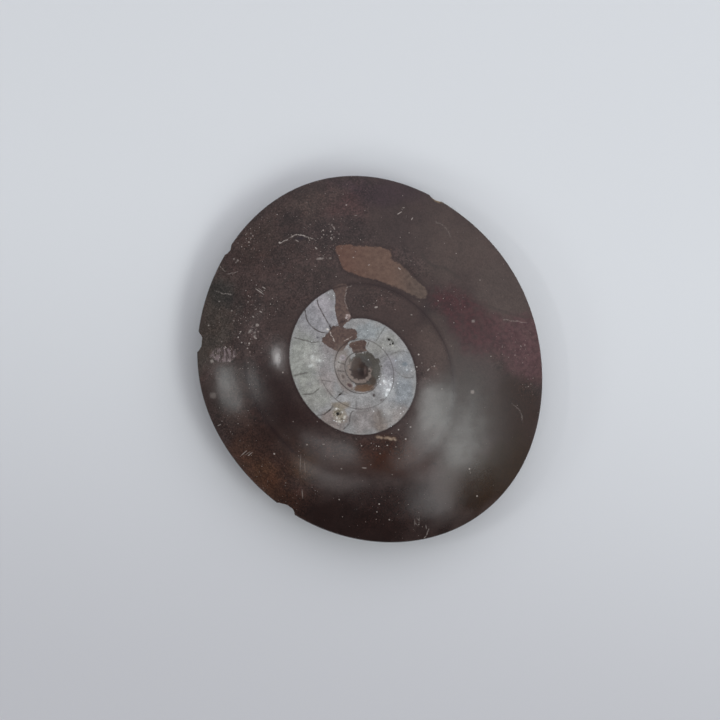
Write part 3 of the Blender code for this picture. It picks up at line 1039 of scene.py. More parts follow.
@dataclass
class Stone:
    """The whole ammonite as one fine mesh, with what its finish needs written on the vertices."""

    section: Section = field(default_factory=Section)
    segments: int = 420
    coil_rings: int = 112
    shoulder_rings: int = 58
    rim_rings: int = 6
    flank_rings: int = 32
    foot_rings: int = 12
    ring_crowding: float = 1.25
    ripple_height: float = 0.035  # of the hand polish
    ripple_size: float = 9.0
    grain_height: float = 0.006
    grain_size: float = 1.6
    still_border: tuple[float, float] = (0.5, 3.0)  # how far inside the rim the unevenness sets in
    vug_border: float = 1.5  # how far round a vug the mesh is made finer
    crystal_size: float = 0.45
    crystal_share: float = 0.35  # how far the crystals push a vug's wall about
    chips: tuple[Chip, ...] = (
        Chip(bearing=170.3, length=4.8, depth=1.15, height=7.5),
        Chip(bearing=241.0, length=5.4, depth=1.0, height=7.3, turned=16.0),
        Chip(bearing=66.0, length=3.2, depth=0.5, height=8.0),
        Chip(bearing=138.2, length=2.8, depth=0.45, height=8.0, turned=-12.0),
    )
    chip_radial: float = 2.0  # half sizes of the egg that leaves a chip
    chip_tall: float = 5.5
    chip_lump: float = 0.07  # its unevenness, as shares of its size
    chip_lump_size: float = 0.9
    chip_grain: float = 0.02
    chip_grain_size: float = 0.25
    chip_seed_step: float = 4.7
    vugs: tuple[Vug, ...] = (
        Vug(radius=10.9, bearing=242.0, length=2.4, width=1.7, depth=0.7, heading=30.0),
        Vug(radius=9.3, bearing=44.0, length=2.6, width=1.3, depth=0.5, heading=-50.0),
        Vug(radius=6.9, bearing=229.0, length=2.8, width=0.8, depth=0.4, heading=-20.0),
    )
    white_turns: tuple[float, float] = (-16.0, 336.0)  # where the last white whorl starts and ends
    white_step: float = 4.0
    marked_from: float = 4.0  # heights between which the markings of the top set in
    marked_to: float = 6.0
    off_the_top: float = 50.0  # what is added to the distance from a marking under that
    sharp_angle: float = 38.0  # degrees between faces that stay an edge

    @property
    def rings(self) -> int:
        """Rings from the middle of the top to the middle of the foot."""
        return self.coil_rings + self.shoulder_rings + self.rim_rings + self.flank_rings + self.foot_rings

    def build(self) -> bpy.types.Object:
        """Makes the mesh, stands it where the solid part stands, and writes its attributes.

        Returns:
            The stone, with no material yet.
        """
        mesh = self.whole_mesh()
        stone = bpy.data.objects.new("polished_ammonite", mesh)
        bpy.context.scene.collection.objects.link(stone)
        self.knock_off_chips(stone)
        self.write_attributes(stone.data)
        stone.data.transform(Matrix.Translation(self.middle(stone.data)) @ Matrix.Scale(MM, 4))
        stone.data.set_sharp_from_angle(angle=math.radians(self.sharp_angle))
        return stone

    def whole_mesh(self) -> bpy.types.Mesh:
        """Draws a sphere's rings out to the section.

        Returns:
            The stone before it was chipped, in millimetres around the umbilicus.
        """
        shape = bmesh.new()
        bmesh.ops.create_uvsphere(shape, u_segments=self.segments, v_segments=self.rings, radius=1.0)
        ball = np.array([vertex.co for vertex in shape.verts])
        ring = np.round(np.arccos(np.clip(ball[:, 2], -1, 1)) / math.pi * self.rings)
        places = self.on_ring(ring, np.degrees(np.arctan2(ball[:, 1], ball[:, 0])))
        for vertex, place in zip(shape.verts, places):
            vertex.co = place
        self.refine_vugs(shape)
        mesh = bpy.data.meshes.new("polished_ammonite")
        shape.to_mesh(mesh)
        shape.free()
        self.carve_top(mesh)
        mesh.shade_smooth()
        return mesh

    def on_ring(self, ring: Field, bearing: Field) -> np.ndarray:
        """Points of the plain surface.

        Args:
            ring: Which ring, counted from the middle of the top.
            bearing: Where around it.

        Returns:
            Three coordinates for each point.
        """
        section = self.section
        edge, groove = section.outline.radius(bearing), section.coil.groove(bearing)
        dome_tilt = np.arctan(section.dome_height * section.dome_power / edge)
        rim_start = edge - section.rim_round * (1 - np.sin(dome_tilt))
        rim_middle = section.top(rim_start, bearing) - section.rim_round * np.cos(dome_tilt)
        on_coil = groove * np.minimum(ring / self.coil_rings, 1.0) ** self.ring_crowding
        past_groove = np.clip((ring - self.coil_rings) / self.shoulder_rings, 0.0, 1.0)
        domed = on_coil + (rim_start - groove) * np.sin(math.pi / 2 * past_groove)
        past_dome = ring - self.coil_rings - self.shoulder_rings
        tilt = dome_tilt + (math.pi / 2 - dome_tilt) * np.clip(past_dome / self.rim_rings, 0.0, 1.0)
        past_rim = past_dome - self.rim_rings
        share = np.cos(math.pi / 2 * np.clip(past_rim / self.flank_rings, 0.0, 1.0))
        inward = 1 - np.maximum(past_rim - self.flank_rings, 0.0) / self.foot_rings
        where = [past_dome <= 0, past_rim <= 0]
        rounded = edge - section.rim_round * (1 - np.sin(tilt))
        below = edge * (section.foot_share + (1 - section.foot_share) * share) * inward
        radius = np.select(where, [domed, rounded], below)
        flank = rim_middle * (1 - np.sqrt(1 - share**section.flank_power))
        on_rim = rim_middle + section.rim_round * np.cos(tilt)
        height = np.select(where, [section.top(domed, bearing), on_rim], flank)
        angle = np.radians(bearing)
        return np.stack([radius * np.cos(angle), radius * np.sin(angle), height], axis=1)

    def refine_vugs(self, shape: bmesh.types.BMesh) -> None:
        """Splits the faces in and round the vugs, where the surface turns fastest.

        Args:
            shape: The stone.
        """
        x, y, z = np.array([vertex.co for vertex in shape.verts]).T
        near = np.zeros(len(x), bool)
        for vug in self.vugs:
            near |= (vug.rim(x, y) < self.vug_border) & (z > self.section.rim_height)
        shape.verts.ensure_lookup_table()
        edges = [e for e in shape.edges if near[e.verts[0].index] and near[e.verts[1].index]]
        bmesh.ops.subdivide_edges(shape, edges=edges, cuts=2, use_grid_fill=True)
        bmesh.ops.triangulate(shape, faces=[f for f in shape.faces if len(f.verts) > 4])

    def carve_top(self, mesh: bpy.types.Mesh) -> None:
        """Gives the top its hand-polished unevenness and sinks the vugs.

        Args:
            mesh: The stone, changed in place.
        """
        places = coordinates(mesh)
        x, y, z = places.T
        bearing = np.degrees(np.arctan2(y, x))
        radius = np.hypot(x, y)
        edge = self.section.outline.radius(bearing)
        inward = smooth(*self.still_border, edge - radius) * (z > self.section.rim_height)
        ripple = self.ripple_height * rough_field(x, y, z, self.ripple_size, seed=1.7)
        grain = self.grain_height * rough_field(x, y, z, self.grain_size, seed=5.9)
        height = self.section.top(radius, bearing)
        crystals = rough_field(x, y, z * 0, self.crystal_size, seed=11.3)
        for vug in self.vugs:
            inside = 1 - smooth(0.35, 1.0, vug.rim(x, y) + self.crystal_share * crystals)
            height = height - vug.depth * inside * (0.8 + 0.5 * np.abs(crystals))
        places[:, 2] = np.where(inward > 0, height + inward * (ripple + grain), z)
        mesh.vertices.foreach_set("co", places.ravel())

    def knock_off_chips(self, stone: bpy.types.Object) -> None:
        """Takes the chips out of the rim, and leaves the broken faces with the second material index.

        Args:
            stone: The stone, whose mesh is swapped for the chipped one.
        """
        cutters = bmesh.new()
        for number, chip in enumerate(self.chips):
            self.add_cutter(cutters, chip, seed=number * self.chip_seed_step)
        mesh = bpy.data.meshes.new("chip_cutters")
        cutters.to_mesh(mesh)
        cutters.free()
        for face in mesh.polygons:
            face.material_index = 1
        tool = bpy.data.objects.new("chip_cutters", mesh)
        bpy.context.scene.collection.objects.link(tool)
        for part in (stone.data, mesh):
            part.materials.append(None)
            part.materials.append(None)
        modifier = stone.modifiers.new("chips", "BOOLEAN")
        modifier.operation = "DIFFERENCE"
        modifier.solver = "EXACT"
        modifier.object = tool
        graph = bpy.context.evaluated_depsgraph_get()
        chipped = bpy.data.meshes.new_from_object(stone.evaluated_get(graph))
        stone.modifiers.clear()
        stone.data = chipped
        bpy.data.objects.remove(tool)

    def add_cutter(self, cutters: bmesh.types.BMesh, chip: Chip, seed: float) -> None:
        """Adds the rough egg that leaves one chip.

        Args:
            cutters: Where it is added.
            chip: Which chip.
            seed: Makes its roughness its own.
        """
        reach = self.section.outline.radius(np.array(chip.bearing)) + self.chip_radial - chip.depth
        across = (self.chip_radial - chip.depth) / self.chip_radial
        half_sizes = (self.chip_radial, chip.length / 2 / math.sqrt(1 - across**2), self.chip_tall)
        made = bmesh.ops.create_icosphere(cutters, subdivisions=4, radius=1.0)["verts"]
        for vertex in made:
            vertex.co = Vector(np.multiply(vertex.co, half_sizes))
            lump = noise.noise(vertex.co / self.chip_lump_size + Vector((seed, 0, 0)))
            grain = noise.noise(vertex.co / self.chip_grain_size + Vector((0, seed, 0)))
            vertex.co *= 1 + self.chip_lump * lump + self.chip_grain * grain
        angle = math.radians(chip.bearing)
        stand = Matrix.Translation((reach * math.cos(angle), reach * math.sin(angle), chip.height))
        turn = Matrix.Rotation(angle + math.radians(chip.turned), 4, "Z")
        bmesh.ops.transform(cutters, matrix=stand @ turn, verts=made)

    def middle(self, mesh: bpy.types.Mesh) -> Vector:
        """Where the umbilicus stands, in metres, for the stone's box to be centred as the solid part's is.

        Args:
            mesh: The stone in millimetres.

        Returns:
            The umbilicus's place on the floor.
        """
        places = coordinates(mesh)
        low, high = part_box(NODE)
        own = (places.min(axis=0) + places.max(axis=0)) / 2 * MM
        wanted = (low + high) / 2
        return Vector((wanted.x - own[0], wanted.y - own[1], low.z))

    def write_attributes(self, mesh: bpy.types.Mesh) -> None:
        """Writes everything that the finish reads.

        Args:
            mesh: The stone in millimetres.
        """
        x, y, z = coordinates(mesh).T
        for layer in (ROCK, CALCITE, FILLS, SPECKS):
            write(mesh, layer.name, Row.COLOUR, layer.values(x, y, z))
        for layer in (SEAMS, INNER_SEAMS, THREADS, FLECKS):
            write(mesh, layer.name, Row.VECTOR, layer.values(x, y))
        below = self.off_the_top * (1 - smooth(self.marked_from, self.marked_to, z))
        sediment = np.min([patch.outside(x, y) for patch in SEDIMENT_OUTLINES], axis=0)
        edges = (self.outside_calcite(x, y), sediment, PATCH_OUTLINE.outside(x, y))
        write(mesh, "edges", Row.VECTOR, np.stack([edge + below for edge in edges], axis=1))
        past_groove = np.hypot(x, y) - self.section.coil.groove(np.degrees(np.arctan2(y, x)))
        zones = (RED_OUTLINE.outside(x, y) + below, z, past_groove)
        write(mesh, "zones", Row.VECTOR, np.stack(zones, axis=1))
        write(mesh, "walls", Row.VECTOR, self.walls(x, y))
        self.mark_breaks(mesh)

    def outside_calcite(self, x: Field, y: Field) -> Field:
        """How far outside the white part of the coil each point is.

        Args:
            x: First coordinate.
            y: Second coordinate.

        Returns:
            Distance to its edge, below 0 inside it.
        """
        turns = np.arange(*self.white_turns, self.white_step)
        radii = self.section.coil.radius(turns)
        wall = np.stack([radii * np.sin(np.radians(turns)), radii * np.cos(np.radians(turns))], axis=1)
        end = [(-6.3, 18.3), *COIL_END, (-4.2, 9.8)]
        return outside_of(np.concatenate([wall, end]), x, y)

    def walls(self, x: Field, y: Field) -> np.ndarray:
        """Where the shell's walls are, as an angle that is 0 on each, and how dark they are.

        Args:
            x: First coordinate.
            y: Second coordinate.

        Returns:
            The angle's cosine and sine, then ink.
        """
        turn = np.degrees(np.arctan2(x, y)) % 360
        count = self.section.coil.walls_out(np.hypot(x, y), turn)
        nearest_turn = turn + 360 * np.round(count)
        ink = np.interp(nearest_turn, *np.array(WALL_INK).T)
        return np.stack([np.cos(2 * np.pi * count), np.sin(2 * np.pi * count), ink], axis=1)

    def mark_breaks(self, mesh: bpy.types.Mesh) -> None:
        """Turns the broken faces' material index into an attribute, so that one material covers the stone.

        Args:
            mesh: The stone.
        """
        index = np.empty(len(mesh.polygons), np.int32)
        mesh.polygons.foreach_get("material_index", index)
        totals = np.empty(len(mesh.polygons), np.int32)
        mesh.polygons.foreach_get("loop_total", totals)
        attribute = mesh.attributes.new("broken", "FLOAT", "CORNER")
        attribute.data.foreach_set("value", np.repeat((index == 1).astype(np.float32), totals))
        mesh.polygons.foreach_set("material_index", np.zeros(len(mesh.polygons), np.int32))
        mesh.materials.clear()


class Row(Enum):
    """What a vertex holds in an attribute, with Blender's names for the type and for the value."""

    COLOUR = ("FLOAT_COLOR", "color")
    VECTOR = ("FLOAT_VECTOR", "vector")


def write(mesh: bpy.types.Mesh, name: str, row: Row, values: np.ndarray) -> None:
    """Writes one attribute on a mesh's vertices.

    Args:
        mesh: The mesh.
        name: The attribute's name.
        row: What each vertex holds.
        values: One row a vertex.
    """
    kind, value = row.value
    attribute = mesh.attributes.new(name, kind, "POINT")
    attribute.data.foreach_set(value, np.ascontiguousarray(values, np.float32).ravel())


# --------------------------------------------------------------------------------------------- finish


class Graph:
    """One material's nodes, added and joined by short calls."""

    def __init__(self, name: str) -> None:
        """Starts a material.

        Args:
            name: The material's name.
        """
        self.material = bpy.data.materials.new(name)
        self.material.use_nodes = True
        self.tree = self.material.node_tree
        self.shader = self.tree.nodes["Principled BSDF"]

    def add(self, kind: str, **settings: object) -> bpy.types.Node:
        """Adds a node.

        Args:
            kind: Its type after "ShaderNode".
            **settings: Its settings by name.

        Returns:
            The node.
        """
        node = self.tree.nodes.new(f"ShaderNode{kind}")
        for name, value in settings.items():
            setattr(node, name, value)
        return node

    def feed(self, socket: Socket, value: Value) -> None:
        """Links a socket to another, or sets it.

        Args:
            socket: The input.
            value: A socket to link from, or a plain value.
        """
        if isinstance(value, Socket):
            self.tree.links.new(value, socket)
        else:
            socket.default_value = value

    def maths(self, operation: str, *values: Value) -> Socket:
        """Works on numbers.

        Args:
            operation: A Math node's operation.
            *values: What it works on.

        Returns:
            The result.
        """
        node = self.add("Math", operation=operation)
        for socket, value in zip(node.inputs, values):
            self.feed(socket, value)
        return node.outputs[0]

    def plus(self, first: Value, second: Value) -> Socket:
        """Adds two numbers."""
        return self.maths("ADD", first, second)

    def times(self, first: Value, *others: Value) -> Socket:
        """Multiplies numbers.

        Args:
            first: The first number.
            *others: What the product so far is multiplied by, one after another.

        Returns:
            The product.
        """
        product = first
        for other in others:
            product = self.maths("MULTIPLY", product, other)
        return product

    def larger(self, first: Value, second: Value) -> Socket:
        """The larger of two numbers."""
        return self.maths("MAXIMUM", first, second)

    def length(self, x: Value, y: Value) -> Socket:
        """How far from 0 two coordinates put a point."""
        return self.maths("SQRT", self.plus(self.times(x, x), self.times(y, y)))

    def between(self, share: Value, first: Value, second: Value) -> Socket:
        """Mixes two numbers.

        Args:
            share: How much of the second.
            first: The first number.
            second: The second number.

        Returns:
            The number.
        """
        node = self.add("Mix")
        for place, given in ((0, share), (2, first), (3, second)):
            self.feed(node.inputs[place], given)
        return node.outputs[0]

    def vectors(self, operation: str, *values: Value) -> Socket:
        """Works on vectors.

        Args:
            operation: A Vector Math node's operation.
            *values: What it works on.

        Returns:
            The result, a number for DOT_PRODUCT.
        """
        node = self.add("VectorMath", operation=operation)
        for socket, value in zip(node.inputs, values):
            self.feed(socket, value)
        return node.outputs["Value" if operation == "DOT_PRODUCT" else "Vector"]

    def scale(self, vector: Socket, factor: Value) -> Socket:
        """Multiplies a colour or another vector by a number.

        Args:
            vector: The vector.
            factor: The number.

        Returns:
            The longer or shorter vector.
        """
        scaled = self.vectors("SCALE", vector)
        self.feed(scaled.node.inputs["Scale"], factor)
        return scaled

    def parts(self, vector: Socket) -> tuple[Socket, Socket, Socket]:
        """Takes a vector apart.

        Args:
            vector: The vector.

        Returns:
            Its three numbers.
        """
        node = self.add("SeparateXYZ")
        self.feed(node.inputs[0], vector)
        return node.outputs[0], node.outputs[1], node.outputs[2]

    def ramp(self, value: Value, low: Value, high: Value, start: Value = 0.0, end: Value = 1.0) -> Socket:
        """Goes smoothly from one number to another as a value rises.

        Args:
            value: The value.
            low: Where it leaves `start`.
            high: Where it reaches `end`.
            start: The first number.
            end: The second number.

        Returns:
            The number.
        """
        node = self.add("MapRange", interpolation_type="SMOOTHSTEP")
        for socket, given in zip(node.inputs, (value, low, high, start, end)):
            self.feed(socket, given)
        return node.outputs[0]

    def mix(self, share: Value, first: Value, second: Value, blend: str = "MIX") -> Socket:
        """Mixes two colours.

        Args:
            share: How much of the second.
            first: The first colour.
            second: The second colour.
            blend: A Mix node's blend type.

        Returns:
            The colour.
        """
        node = self.add("Mix", data_type="RGBA", blend_type=blend)
        for place, given in ((0, share), (6, first), (7, second)):
            self.feed(node.inputs[place], given)
        return node.outputs[2]

    def noise(self, where: Socket, size: float, detail: float = 3.0, harshness: float = 0.5) -> Socket:
        """Soft noise.

        Args:
            where: The place, in millimetres.
            size: How wide a lump of it is.
            detail: How many finer layers it has.
            harshness: How strong the finer layers are.

        Returns:
            A number round 0.5.
        """
        node = self.add("TexNoise")
        self.feed(node.inputs["Vector"], where)
        self.feed(node.inputs["Scale"], 1 / size)
        self.feed(node.inputs["Detail"], detail)
        self.feed(node.inputs["Roughness"], harshness)
        return node.outputs["Fac"]

    def shake(
        self, where: Socket, reach: float, size: float, detail: float = 3.0, harshness: float = 0.5
    ) -> Socket:
        """Soft noise round 0, to make an edge or a tone uneven.

        Args:
            where: The place, in millimetres.
            reach: How far from 0 it may go.
            size: How wide a lump of it is.
            detail: How many finer layers it has.
            harshness: How strong the finer layers are.

        Returns:
            A number round 0.
        """
        return self.maths("MULTIPLY_ADD", self.noise(where, size, detail, harshness), 2 * reach, -reach)

    def cells(self, where: Socket, size: float) -> bpy.types.Node:
        """Scattered cells.

        Args:
            where: The place, in millimetres.
            size: How wide a cell is.

        Returns:
            The node, whose distances are in cells.
        """
        node = self.add("TexVoronoi")
        self.feed(node.inputs["Vector"], where)
        self.feed(node.inputs["Scale"], 1 / size)
        return node

    def read(self, name: str) -> bpy.types.Node:
        """Reads a mesh attribute.

        Args:
            name: The attribute.

        Returns:
            The node, with Color, Vector, Fac and Alpha.
        """
        return self.add("Attribute", attribute_name=name)


def shade(colour: str) -> tuple[float, ...]:
    """A colour as a node's socket takes it."""
    return (*linear(colour), 1.0)


@dataclass(frozen=True)
class Tone:
    """A blotchy colour, somewhere between a dark one and a light one."""

    dark: str
    light: str

    def blotched(self, graph: Graph, share: Socket) -> Socket:
        """The colour where `share` of it is the light one."""
        return graph.mix(share, shade(self.dark), shade(self.light))


@dataclass(frozen=True)
class SpeckSize:
    """One size of pale speck; its radii are shares of the spacing."""

    spacing: float
    smallest: float
    largest: float
    strength: float


@dataclass(frozen=True)
class PolishedStone:
    """Dark limestone and white calcite under one hand polish, with its specks, scratches and broken edges,
    painted glints on the calcite and painted shade just under the rim.
    """

    middle: Vector  # where the umbilicus stands, in metres
    roughness: float = 0.15  # inside the groove, where the polish is finest
    groove_roughness: float = 0.22
    outer_roughness: float = 0.19
    right_roughness: float = 0.36
    core_roughness: float = 0.5
    calcite_roughness: float = 0.2
    broken_roughness: float = 0.7
    ground_roughness: float = 0.5
    smear_roughness: float = 0.06  # these two are added to the others
    mark_roughness: float = 0.3
    stroke_height: float = 0.003  # of the strokes left by the polishing wheel
    skin_height: float = 0.0022
    crystal_height: float = 0.012
    mark_depth: float = 0.02
    rubble_height: float = 0.2  # of the broken faces
    scuff_cover: float = 0.6
    fleck_cover: float = 0.75
    ior: float = 1.5
    mottles: tuple[tuple[float, float, float], ...] = (  # size, harshness and contrast of each layer
        (6.0, 0.55, 1.2),
        (1.3, 0.6, 1.1),
        (0.42, 0.7, 3.4),
    )
    darkest_share: float = 0.6  # of its colour, that the mottling leaves the rock
    speck_sizes: tuple[SpeckSize, ...] = (
        SpeckSize(2.1, 0.04, 0.1, 0.9),
        SpeckSize(1.0, 0.05, 0.14, 0.85),
        SpeckSize(0.6, 0.08, 0.22, 0.8),
        SpeckSize(0.4, 0.07, 0.18, 0.65),
    )
    line_colour: str = "3a302c"
    groove_colour: str = "271717"
    pit_colour: str = "55504e"
    speck_colour: str = "85746c"
    fleck_colour: str = "c2b6ae"
    scuff_colour: str = "9c8a8c"
    # painted glints: specks on the calcite take this near-white, standing in for the sparkle of its crystals
    painted_glint_colour: str = "f6f8f8"
    # painted shade: the dark band just under the rim, where the flank turns under
    rim_shade_colour: str = "1b1d1a"
    warm_tint: str = "ffdcd4"
    near_red: Tone = Tone("35191c", "4c2528")
    far_red: Tone = Tone("462a2d", "604243")
    patch_left: Tone = Tone("573b31", "705245")
    patch_middle: Tone = Tone("573f35", "72584a")
    patch_right: Tone = Tone("4a3a32", "66544a")
    sediment: Tone = Tone("483734", "6c574e")
    fractured: Tone = Tone("3a302d", "6a5b52")

    def make(self) -> bpy.types.Material:
        """Builds the material.

        Returns:
            The material.
        """
        graph = Graph("polished_stone")
        where = self.place(graph)
        rock = self.rock(graph, where)
        colour, calcite = self.calcite(graph, where, rock)
        colour, dull = self.marks(graph, where, colour, calcite)
        broken = graph.read("broken").outputs["Fac"]
        # painted shade just under the rim
        colour = graph.mix(self.rim_shade(graph), colour, shade(self.rim_shade_colour))
        colour = graph.mix(broken, colour, self.fracture(graph, where, rock))
        graph.feed(graph.shader.inputs["Base Color"], colour)
        graph.feed(graph.shader.inputs["Roughness"], self.gloss(graph, where, calcite, dull, broken))
        graph.feed(graph.shader.inputs["Normal"], self.surface(graph, where, calcite, dull, broken))
        graph.shader.inputs["IOR"].default_value = self.ior
        graph.shader.inputs["Metallic"].default_value = 0.0
        return graph.material

    def place(self, graph: Graph) -> Socket:
        """The place on the stone, in millimetres around the umbilicus.

        Args:
            graph: The material's nodes.

        Returns:
            The place as a vector.
        """
        whole = graph.add("TexCoord").outputs["Object"]
        own = graph.vectors("SUBTRACT", whole, tuple(self.middle))
        return graph.vectors("MULTIPLY", own, (1000.0, 1000.0, 1000.0))

    def rock(self, graph: Graph, where: Socket) -> Socket:
        """Colour of the dark limestone, mottled most where its specks are thick.

        Args:
            graph: The material's nodes.
            where: The place.

        Returns:
            The colour.
        """
        coarse = graph.ramp(graph.read("specks").outputs["Fac"], 0.0, 0.22, 0.35, 1.25)
        mottled = 0.0
        for size, harshness, contrast in self.mottles:
            mottled = graph.plus(mottled, graph.shake(where, contrast / 2, size, 4.0, harshness))
        strength = graph.larger(graph.maths("MULTIPLY_ADD", mottled, coarse, 1.0), self.darkest_share)
        rock = graph.scale(graph.read("rock").outputs["Color"], strength)
        warm = graph.times(graph.ramp(graph.noise(where, 3.1, 4.0, 0.6), 0.45, 0.7, 0.0, 0.22), coarse)
        rock = graph.mix(warm, rock, graph.mix(1.0, rock, shade(self.warm_tint), "MULTIPLY"))
        rock = graph.mix(self.red_share(graph, where), rock, self.red(graph, where))
        return self.patch(graph, where, rock)

    def red_share(self, graph: Graph, where: Socket) -> Socket:
        """How strongly the wine-red stain shows.

        Args:
            graph: The material's nodes.
            where: The place.

        Returns:
            The share, from 0 to 1.
        """
        outside_red, _, _ = graph.parts(graph.read("zones").outputs["Vector"])
        ragged = graph.shake(where, reach=3.0, size=2.4, detail=6.0, harshness=0.65)
        red = graph.ramp(graph.plus(outside_red, ragged), 2.0, -2.0)
        patchy = graph.ramp(graph.noise(where, 1.7, 5.0, 0.65), 0.34, 0.6, 0.65, 0.95)
        return graph.times(red, patchy)

    def red(self, graph: Graph, where: Socket) -> Socket:
        """Colour of the wine-red stain, greyer toward the right.

        Args:
            graph: The material's nodes.
            where: The place.

        Returns:
            The colour.
        """
        x, _, _ = graph.parts(where)
        blotch = graph.ramp(graph.noise(where, 0.9, 5.0, 0.65), 0.33, 0.67)
        near, far = self.near_red.blotched(graph, blotch), self.far_red.blotched(graph, blotch)
        return graph.mix(graph.ramp(x, 24.0, 38.0), near, far)

    def patch(self, graph: Graph, where: Socket, rock: Socket) -> Socket:
        """Lays the tan patch of rock over the dark one, with a dark line round it.

        Args:
            graph: The material's nodes.
            where: The place.
            rock: The dark rock's colour.

        Returns:
            The colour.
        """
        x, _, _ = graph.parts(where)
        _, _, outside = graph.parts(graph.read("edges").outputs["Vector"])
        nibbled = graph.shake(where, reach=1.0, size=1.3, detail=6.0, harshness=0.75)
        outside = graph.plus(outside, nibbled)
        blotch = graph.ramp(graph.noise(where, 0.9, 5.0, 0.7), 0.22, 0.78)
        left, middle, right = (
            tone.blotched(graph, blotch) for tone in (self.patch_left, self.patch_middle, self.patch_right)
        )
        tan = graph.mix(graph.ramp(x, -4.0, 4.0), left, middle)
        tan = graph.mix(graph.ramp(x, 6.0, 13.0), tan, right)
        ringed = graph.mix(graph.ramp(outside, 1.1, 0.1, 0.0, 0.45), rock, shade(self.groove_colour))
        return graph.mix(graph.ramp(outside, 0.22, -0.22), ringed, tan)

    def calcite(self, graph: Graph, where: Socket, rock: Socket) -> tuple[Socket, Socket]:
        """Lays the white chambers, their mud, their fills and their walls over the rock.

        Args:
            graph: The material's nodes.
            where: The place.
            rock: The rock's colour.

        Returns:
            The colour, and how much of the surface is calcite.
        """
        outside, outside_mud, _ = graph.parts(graph.read("edges").outputs["Vector"])
        uneven = graph.shake(where, reach=0.15, size=0.5, detail=4.0, harshness=0.6)
        white = graph.ramp(graph.plus(outside, uneven), 0.07, -0.07)
        lumpy = graph.shake(where, reach=0.55, size=0.7, detail=5.0, harshness=0.65)
        mud = graph.ramp(graph.plus(outside_mud, lumpy), 0.1, -0.1)
        frost = graph.ramp(graph.noise(where, 1.4, 5.0, 0.6), 0.35, 0.7, 0.82, 1.2)
        sugar = graph.ramp(graph.noise(where, 0.28, 3.0, 0.7), 0.3, 0.7, 0.8, 1.2)
        chalk = graph.scale(graph.read("calcite").outputs["Color"], graph.times(frost, sugar))
        pits = graph.ramp(graph.noise(where, 0.33, 2.0, 0.5), 0.3, 0.24, 0.0, 0.6)
        chalk = graph.mix(pits, chalk, shade(self.pit_colour))
        silt = self.sediment.blotched(graph, graph.ramp(graph.noise(where, 0.6, 5.0, 0.7), 0.25, 0.75))
        colour = graph.mix(mud, graph.mix(white, rock, chalk), silt)
        fills = graph.read("fills")
        under = graph.scale(colour, graph.maths("SUBTRACT", 1.0, fills.outputs["Alpha"]))
        colour = graph.vectors("ADD", under, graph.scale(fills.outputs["Color"], sugar))
        calcite = graph.times(white, graph.maths("SUBTRACT", 1.0, mud))
        return self.shell_walls(graph, where, colour, white), calcite

    def shell_walls(self, graph: Graph, where: Socket, colour: Socket, white: Socket) -> Socket:
        """Draws the spiral wall and the walls between the chambers.

        Args:
            graph: The material's nodes.
            where: The place.
            colour: The colour under them.
            white: How much of the surface is inside the white coil.

        Returns:
            The colour with the walls on it.
        """
        cosine, sine, ink = graph.parts(graph.read("walls").outputs["Vector"])
        x, y, _ = graph.parts(where)
        count = graph.maths("DIVIDE", graph.maths("ARCTAN2", sine, cosine), 2 * math.pi)
        distance = graph.times(count, graph.length(x, y), math.log(Coil().growth))
        shake = graph.shake(where, reach=0.08, size=0.6)
        away = graph.maths("ABSOLUTE", graph.plus(distance, shake))
        band = graph.times(graph.ramp(away, 1.0, 0.0, 0.0, 0.75), ink, graph.maths("SUBTRACT", 1.0, white))
        colour = graph.mix(band, colour, shade(self.groove_colour))
        wall = graph.times(graph.ramp(away, 0.2, 0.05), ink, graph.ramp(white, 0.0, 1.0, 0.7, 0.8))
        line = graph.mix(white, shade(self.groove_colour), shade(self.line_colour))
        colour = graph.mix(wall, colour, line)
        worn = graph.ramp(graph.noise(where, 0.9, 4.0, 0.6), 0.35, 0.6, 0.5, 0.95)
        for layer in (SEAMS, INNER_SEAMS):
            side, ink, _ = graph.parts(graph.read(layer.name).outputs["Vector"])
            away = graph.maths("ABSOLUTE", graph.plus(side, graph.times(shake, 3.0)))
            mark = graph.times(graph.ramp(away, 0.8, 0.15), worn, ink)
            colour = graph.mix(mark, colour, shade(self.line_colour))
        return colour

    def marks(self, graph: Graph, where: Socket, colour: Socket, calcite: Socket) -> tuple[Socket, Socket]:
        """Adds pale specks (painted glints where they lie on the calcite), scuffs, threads, flecks and
        scratches.

        Args:
            graph: The material's nodes.
            where: The place.
            colour: The colour under them.
            calcite: How much of the surface is calcite.

        Returns:
            The colour, and how dull the surface is for them.
        """
        density = graph.read("specks").outputs["Fac"]
        colour, dull = self.specks(graph, where, colour, calcite, density)
        colour = graph.mix(self.scuffs(graph, where, density), colour, shade(self.scuff_colour))
        for mark in (self.threads(graph, where), self.flecks(graph, where)):
            colour = graph.mix(mark, colour, shade(self.fleck_colour))
            dull = graph.larger(dull, mark)
        return colour, dull

    def specks(
        self, graph: Graph, where: Socket, colour: Socket, calcite: Socket, density: Socket
    ) -> tuple[Socket, Socket]:
        """Scatters small pale specks, a little larger where they are thick; on the calcite they are painted
        glints.

        Args:
            graph: The material's nodes.
            where: The place.
            colour: The colour under them.
            calcite: How much of the surface is calcite.
            density: The share of places that hold a speck.

        Returns:
            The colour, and how dull the surface is for them.
        """
        dull = 0.0
        on_calcite = graph.ramp(calcite, 0.0, 1.0, 1.0, 1.1)
        wider = graph.times(on_calcite, graph.ramp(density, 0.3, 0.65, 1.0, 1.45))
        for size in self.speck_sizes:
            cells = graph.cells(where, size.spacing)
            chance, big, pale = graph.parts(cells.outputs["Color"])
            there = graph.maths("LESS_THAN", chance, density)
            reach = graph.times(graph.ramp(big, 0.0, 1.0, size.smallest, size.largest), wider)
            spot = graph.ramp(cells.outputs["Distance"], reach, graph.times(reach, 0.5))
            spot = graph.times(spot, there, size.strength)
            tone = graph.mix(pale, shade(self.speck_colour), shade(self.fleck_colour))
            # painted glints: on the calcite the specks turn near-white
            tone = graph.mix(calcite, tone, shade(self.painted_glint_colour))
            colour = graph.mix(spot, colour, tone)
            dull = graph.larger(dull, spot)
        return colour, dull

